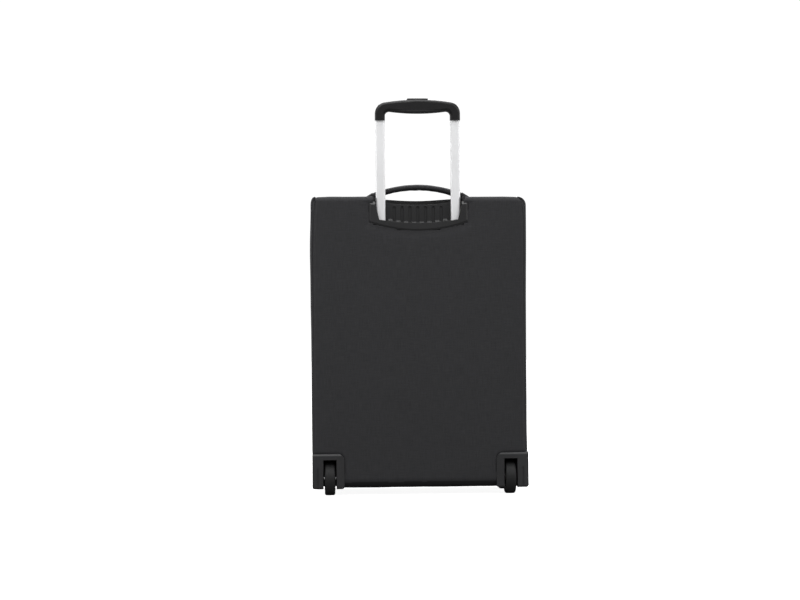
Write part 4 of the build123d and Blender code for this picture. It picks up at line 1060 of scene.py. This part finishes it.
def net_pocket():
    """A mesh pocket of crossed strands with a bound edge and an elastic mouth."""
    w, z0, z1 = 168.0, 62.0, 418.0
    nx_, nz_ = 57, 60
    def at(x, z):
        return -73.6 + 0.9 * math.cos(x / w * math.pi / 2) * smooth01((z - z0) / 60.0) + 0.3 * nz(x, 0, z, 50.0, 51.0)
    verts, edges_f = [], []
    for i in range(nz_ + 1):
        for j in range(nx_ + 1):
            x = -w + 2 * w * (j + (0.5 if i % 2 else 0.0) * (0 if j in (0, nx_) else 1)) / nx_
            z = z0 + (z1 - z0) * i / nz_
            verts.append((x, at(x, z), z))
    faces = []
    for i in range(nz_):
        for j in range(nx_):
            a = i * (nx_ + 1) + j
            b = a + nx_ + 1
            if i % 2:
                faces += [(a, a + 1, b + 1), (a, b + 1, b)] if j == 0 else [(a, a + 1, b + 1, b)]
            else:
                faces.append((a, a + 1, b + 1, b))
    o = build("lid_net_mesh", verts, faces, M["net"], [(v[0] * MM, v[2] * MM) for v in verts])
    wf = o.modifiers.new("strands", "WIREFRAME")
    wf.thickness = 0.75 * MM
    wf.use_even_offset = False
    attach(o, "lid")
    loop = rrect(w + 1, z0 - 1, z1 + 1, 10.0, 0.0, 5.0)
    rows_ = []
    for a in lin(0, 2 * math.pi, 9)[:-1]:
        rows_.append([(p[0] + out_normal(p[0], p[2], w + 1, z0 - 1, z1 + 1, 10.0)[0] * 3.6 * math.cos(a), at(p[0], p[2]) + 0.9 * math.sin(a) - 0.3, p[2] + out_normal(p[0], p[2], w + 1, z0 - 1, z1 + 1, 10.0)[1] * 3.6 * math.cos(a)) for p in loop])
    verts, faces = grid(rows_, close_u=True, close_v=True)
    bnd = build("lid_net_binding", verts, faces, M["binding"], [(v[0] * MM, v[2] * MM) for v in verts])
    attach(bnd, "lid")
    rows_ = []
    for a in lin(0, 2 * math.pi, 11)[:-1]:
        rows_.append([(x, at(x, z1) + 1.1 * math.sin(a) + 0.6, z1 - 6.0 + 9.0 * math.cos(a) + 0.5 * math.sin(x / 3.0) * (1 if math.cos(a) < 0 else 0)) for x in lin(-w, w, 130)])
    verts, faces = grid(rows_, close_u=True)
    el = build("lid_net_elastic", verts, faces, M["webbing"], [(v[0] * MM, v[2] * MM) for v in verts])
    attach(el, "lid")
    return o


net = net_pocket()
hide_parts("lid_net_pocket")

# ------------------------------------------------------------------ body lining: stepped round the wheel housings and the plate
def line_y(x, z, e):
    def wall(a, b):
        return smooth01(a / 5.0) * smooth01(b / 5.0)
    y = 65.2
    k = wall(abs(x) - 137.0, 81.0 - z)
    y = y * (1 - k) + 23.0 * k
    k = wall(88.0 - abs(x), z - 483.0)
    y = y * (1 - k) + 55.0 * k
    k = wall(88.0 - abs(x), z - 531.0)
    y = y * (1 - k) + 7.0 * k
    return y - (0.8 + 0.9 * nz(x, 0, z, 70.0, 61.0) + 0.4 * nz(x, 0, z, 24.0, 62.0)) * smooth01(e / 10.0)


def lin_skirt(t, o_):
    def f(bx, by, bz):
        y = by + (-41.0 - by) * t
        return (o_ + 0.7 * nz(bx, y, bz, 40.0, 63.0) * math.sin(math.pi * t), y)
    return f


ex_ = tuple(s * v for s in (-1, 1) for v in (137.0, 138.5, 140.0, 142.0, 83.0, 84.8, 86.4, 88.0))
body_in = tray("body_lining_cloth", 189.4, 25.8, 541.2, 11.0, 6.5, line_y, [lin_skirt(t, 0.3) for t in (0.02, 0.1, 0.2, 0.32, 0.45, 0.58, 0.7, 0.82, 0.92, 1.0)], M["lining"], ex=ex_,
               ez=(76.0, 77.6, 79.4, 81.0, 483.0, 484.7, 486.3, 488.0, 531.0, 532.7, 534.3, 536.0), flip=False)
solidify(body_in, 0.7, offset=-1.0)
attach(body_in, "case")
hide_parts("body_lining")

# ------------------------------------------------------------------ packing straps
def strap(nm, sx, top):
    x0, z0 = sx * 26.0, 270 + top * 8.5
    x1, z1 = sx * 187.0, 270 + top * 120.0
    d = Vector((x1 - x0, 0, z1 - z0))
    L = d.length
    d.normalize()
    nrm = Vector((-d.z, 0, d.x))
    rows_ = []
    for v in lin(-1, 1, 11):
        row = []
        for u in lin(0, 1, 70):
            w = 7.0 + 3.5 * smooth01(u / 0.18)
            yb = 62.9 + 0.35 * math.sin(u * 9.0) - 0.5 * math.sin(math.pi * u) + 0.1 * abs(v)
            row.append(tuple(Vector((x0, yb, z0)) + d * (u * L) + nrm * (v * w)))
        rows_.append(row)
    o = band(nm, rows_, M["webbing"])
    solidify(o, 1.3, offset=0.0)
    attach(o, "case")
    a = Vector((x0, 62.2, z0)) + d * (L - 24)
    b = Vector((x0, 62.2, z0)) + d * (L - 6)
    c = [a + nrm * 7, b + nrm * 7, b - nrm * 7, a - nrm * 7, a + nrm * 7, b - nrm * 7, b + nrm * 7, a - nrm * 7]
    stitches(f"{nm}_tack", resample([tuple(p) for p in c], 2.0), "case", length=2.4, gap=0.9, r=0.3, normal=(0, -1, 0), lift=0.1, mat=M["thread_light"])
    return o


straps = [strap(f"packing_strap_{'l' if sx > 0 else 'r'}_{'top' if t > 0 else 'low'}", sx, t) for sx in (1, -1) for t in (1, -1)]
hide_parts("packing_straps")

# ------------------------------------------------------------------ carry handle: a padded sleeve of cloth over a web
def arc3(x1, z1, zm):
    """Height of a circular arc through (+-x1, z1) and (0, zm)."""
    s = zm - z1
    rad = (x1 * x1 + s * s) / (2 * s)
    return lambda x: zm - rad + math.sqrt(max(0.0, rad * rad - x * x))


top_z, low_z = arc3(84.0, 560.4, 576.2), arc3(79.0, 550.0, 565.6)


def handle_sleeve():
    rows_, sl = [], []
    for x in lin(-84.5, 84.5, 96):
        zt = top_z(min(84.0, abs(x)))
        zb = low_z(min(79.0, abs(x))) if abs(x) < 79 else 550.2
        t = abs(x) / 84.5
        zc, hz = (zt + zb) / 2, (zt - zb) / 2
        hy = 14.0 - 0.8 * t
        hz *= 1.0 - 0.05 * math.sin(math.pi * t) ** 2
        row = []
        for k in range(44):
            a = 2 * math.pi * k / 44
            ca, sa = math.cos(a), math.sin(a)
            n_ = 2.7
            rr = (abs(ca) ** n_ + abs(sa) ** n_) ** (-1 / n_)
            y, z = hy * rr * ca, hz * rr * sa
            # sewn channels near both long edges of the top face, cloth rounded between them
            ch = math.exp(-((abs(y) - 10.2) / 0.9) ** 2) * smooth01(sa * 3)
            z -= 0.8 * ch
            w_ = 0.22 * nz(x, y, z, 16.0, 71.0) + 0.12 * nz(x, y, z, 6.0, 72.0)
            if ca * ca < 0.5 and sa < 0:
                w_ += 0.2 * math.sin(x / 2.6 + 1.5 * nz(x, 0, 0, 12.0, 73.0)) * (1 - t)
            row.append((x, 38.0 + y + w_ * ca, zc + z + w_ * sa))
        rows_.append(row)
    verts, faces = grid(rows_, close_v=True, flip=True)
    L = [0.0]
    for i in range(1, len(rows_)):
        L.append(L[-1] + math.dist(rows_[i][11], rows_[i - 1][11]))
    uvs = [(k * 76.0 / 44 * MM, L[i] * MM) for i in range(len(rows_)) for k in range(44)]
    n = len(rows_)
    faces.append(tuple(range(44)))
    faces.append(tuple((n - 1) * 44 + k for k in range(44))[::-1])
    o = build("carry_handle_sleeve", verts, faces, M["wrap"], uvs)
    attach(o, "case")
    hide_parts("carry_handle")
    for s_ in (-1, 1):
        path = []
        for x in lin(-80, 80, 80):
            zt = top_z(abs(x))
            zb = low_z(min(79.0, abs(x)))
            t = abs(x) / 84.5
            hz = (zt - zb) / 2 * (1.0 - 0.05 * math.sin(math.pi * t) ** 2)
            yy = 10.2
            hy = 14.0 - 0.8 * t
            f = (1 - (yy / hy) ** 2.7) ** (1 / 2.7)
            path.append((x, 38.0 + s_ * yy, (zt + zb) / 2 + hz * f - 0.75))
        stitches(f"handle_stitch_{'rear' if s_ > 0 else 'front'}", path, "case", length=2.9, gap=1.0, r=0.36, normal=(0, 0, 1), lift=0.15)
    return o


handle_sleeve()

# ------------------------------------------------------------------ springs under the release button
for sx, nm in ((1, "left"), (-1, "right")):
    pts = []
    for k in range(97):
        a = 2 * math.pi * k / 36
        pts.append((sx * 34 + 2.2 * math.cos(a), 76.5 + 2.2 * math.sin(a), 713.4 + 3.6 * k / 96))
    spr = tube(f"button_spring_{nm}", pts, 0.35, M["steel"], seg=8)
    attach(spr, "button")
    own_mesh(spr)
    if sx > 0:
        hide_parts("button_springs")

# ------------------------------------------------------------------ top stitching of the shell
for sx, nm in ((1, "left"), (-1, "right")):
    path = []
    for z in lin(92, 536, 150):
        w = 194.4 - 3.6 * smooth01((z - 500) / 48.0)
        x = w - 7.0
        path.append((sx * (x + side_shift(sx, z)), 90.0 + rear_offset(sx * x, z, 7.0 / w), settle(sx * x, 90.0, z)))
    stitches(f"shell_stitch_{nm}", path, "case", length=2.8, gap=1.1, r=0.3, normal=(0, 1, 0), lift=0.12)
    path = [(sx * (half_width(z) + 0.6 + side_shift(sx, z)), 80.0, settle(sx * 197.0, 80.0, z)) for z in lin(92, 530, 90)]
    stitches(f"side_stitch_{nm}", path, "case", length=2.8, gap=1.1, r=0.3, normal=(sx, 0, 0), lift=0.05)

# ------------------------------------------------------------------ the top sinks between the handle mounts
def top_sag(x, y, z):
    if abs(x) >= 100 or z < 500:
        return 0.0
    c = math.cos(math.pi * x / 200.0)
    return 3.6 * c * c * smooth01((z - 500) / 46.0) * smooth01((y + 92) / 26.0)


for o in list(bpy.context.scene.collection.all_objects):
    if o.name.split(".")[0] in ("zip_tape_body_cloth", "zip_tape_lid_cloth", "zip_teeth_body", "zip_teeth_lid", "zip_seam_body", "zip_seam_lid",
                                "mouth_binding_body", "mouth_binding_lid", "lid_side_band", "lid_lining_cloth", "body_lining_cloth", "lid_front_cloth", "lid_piping_cord"):
        for v in o.data.vertices:
            x, y, z = v.co[0] / MM, v.co[1] / MM, v.co[2] / MM
            v.co[2] = (z - top_sag(x, min(y, -30.0) if "lining" not in o.name else min(y, 0.0), z)) * MM
        o.data.update()

# ------------------------------------------------------------------ camera, light, floor
FLOOR_NEAR, FLOOR_FAR, WORLD_LIGHT = 0.92, 0.95, 0.42
cam_d = bpy.data.cameras.new("camera")
cam = bpy.data.objects.new("camera", cam_d)
bpy.context.scene.collection.objects.link(cam)
bpy.context.scene.camera = cam
cam_d.sensor_width = 36.0
cam_d.lens = 73.4
CAM_POS = Vector((0.166, 3.090, 0.300))
CAM_AIM = Vector((0.0355, 0.090, 0.3592))
cam.location = CAM_POS
cam.rotation_mode = "QUATERNION"
q = (CAM_AIM - CAM_POS).to_track_quat("-Z", "Y")
cam.rotation_quaternion = q @ Quaternion((0, 0, 1), math.radians(-0.45))
cam_d.clip_start, cam_d.clip_end = 0.05, 60.0

floor_me = bpy.data.meshes.new("floor")
R = 14.0
floor_me.from_pydata([(-R, -R, 0), (R, -R, 0), (R, R, 0), (-R, R, 0)], [], [(0, 1, 2, 3)])
floor = bpy.data.objects.new("floor", floor_me)
bpy.context.scene.collection.objects.link(floor)
fm, fnt, fb = new_mat("floor_paint")
fg = G(fnt)
fpos = fg.n("ShaderNodeNewGeometry").outputs["Position"]
fdist = fg.n("ShaderNodeVectorMath", operation="LENGTH")
fg.link(fpos, fdist.inputs[0])
ffar = fg.n("ShaderNodeMapRange", interpolation_type="SMOOTHSTEP")
fg.link(fdist.outputs["Value"], ffar.inputs["Value"])
ffar.inputs["From Min"].default_value = 0.5
ffar.inputs["From Max"].default_value = 2.6
ffar.inputs["To Min"].default_value = FLOOR_NEAR
ffar.inputs["To Max"].default_value = FLOOR_FAR
fb.inputs["Base Color"].default_value = (0.93, 0.93, 0.93, 1)
fb.inputs["Roughness"].default_value = 0.8
fb.inputs["Specular IOR Level"].default_value = 0.2
fb.inputs["Emission Color"].default_value = (1, 1, 1, 1)
fg.link(ffar.outputs["Result"], fb.inputs["Emission Strength"])
dull = fg.n("ShaderNodeBsdfDiffuse")
dull.inputs["Color"].default_value = (0.22, 0.22, 0.22, 1)
fmix = fg.n("ShaderNodeMixShader")
fpath = fg.n("ShaderNodeLightPath")
fout = [n for n in fnt.nodes if n.type == "OUTPUT_MATERIAL"][0]
fg.link(fpath.outputs["Is Camera Ray"], fmix.inputs[0])
fg.link(dull.outputs[0], fmix.inputs[1])
fg.link(fb.outputs[0], fmix.inputs[2])
fg.link(fmix.outputs[0], fout.inputs[0])
floor_me.materials.append(fm)

world = bpy.data.worlds.new("studio")
bpy.context.scene.world = world
world.use_nodes = True
wn = world.node_tree
wn.nodes.clear()
wo = wn.nodes.new("ShaderNodeOutputWorld")
w_light = wn.nodes.new("ShaderNodeBackground")
w_seen = wn.nodes.new("ShaderNodeBackground")
w_mix = wn.nodes.new("ShaderNodeMixShader")
w_path = wn.nodes.new("ShaderNodeLightPath")
w_light.inputs[0].default_value = (1, 1, 1, 1)
w_light.inputs[1].default_value = WORLD_LIGHT
w_seen.inputs[0].default_value = (1, 1, 1, 1)
w_seen.inputs[1].default_value = 1.05
wn.links.new(w_path.outputs["Is Camera Ray"], w_mix.inputs[0])
wn.links.new(w_light.outputs[0], w_mix.inputs[1])
wn.links.new(w_seen.outputs[0], w_mix.inputs[2])
wn.links.new(w_mix.outputs[0], wo.inputs["Surface"])
bpy.context.scene.view_settings.view_transform = "Standard"


def area(name, loc, aim, size, power):
    ld = bpy.data.lights.new(name, "AREA")
    ld.shape = "RECTANGLE"
    ld.size, ld.size_y = size
    ld.energy = power
    lo = bpy.data.objects.new(name, ld)
    bpy.context.scene.collection.objects.link(lo)
    lo.location = loc
    lo.rotation_mode = "QUATERNION"
    lo.rotation_quaternion = (Vector(aim) - Vector(loc)).to_track_quat("-Z", "Y")
    return lo


area("key", (0.8, 1.9, 2.3), (0, 0.09, 0.5), (1.7, 1.1), 35)
area("fill", (-1.5, 2.3, 1.9), (0, 0.09, 0.45), (1.8, 1.3), 16)
area("back", (0.3, -2.4, 2.2), (0, -0.05, 0.35), (2.2, 1.4), 60)
area("top", (0.0, 0.2, 3.0), (0, 0, 0.4), (2.4, 2.4), 60)
area("left", (2.9, -0.2, 1.5), (0.2, 0, 0.3), (1.8, 1.6), 26)
area("right", (-2.9, -0.2, 1.5), (-0.2, 0, 0.3), (1.8, 1.6), 26)
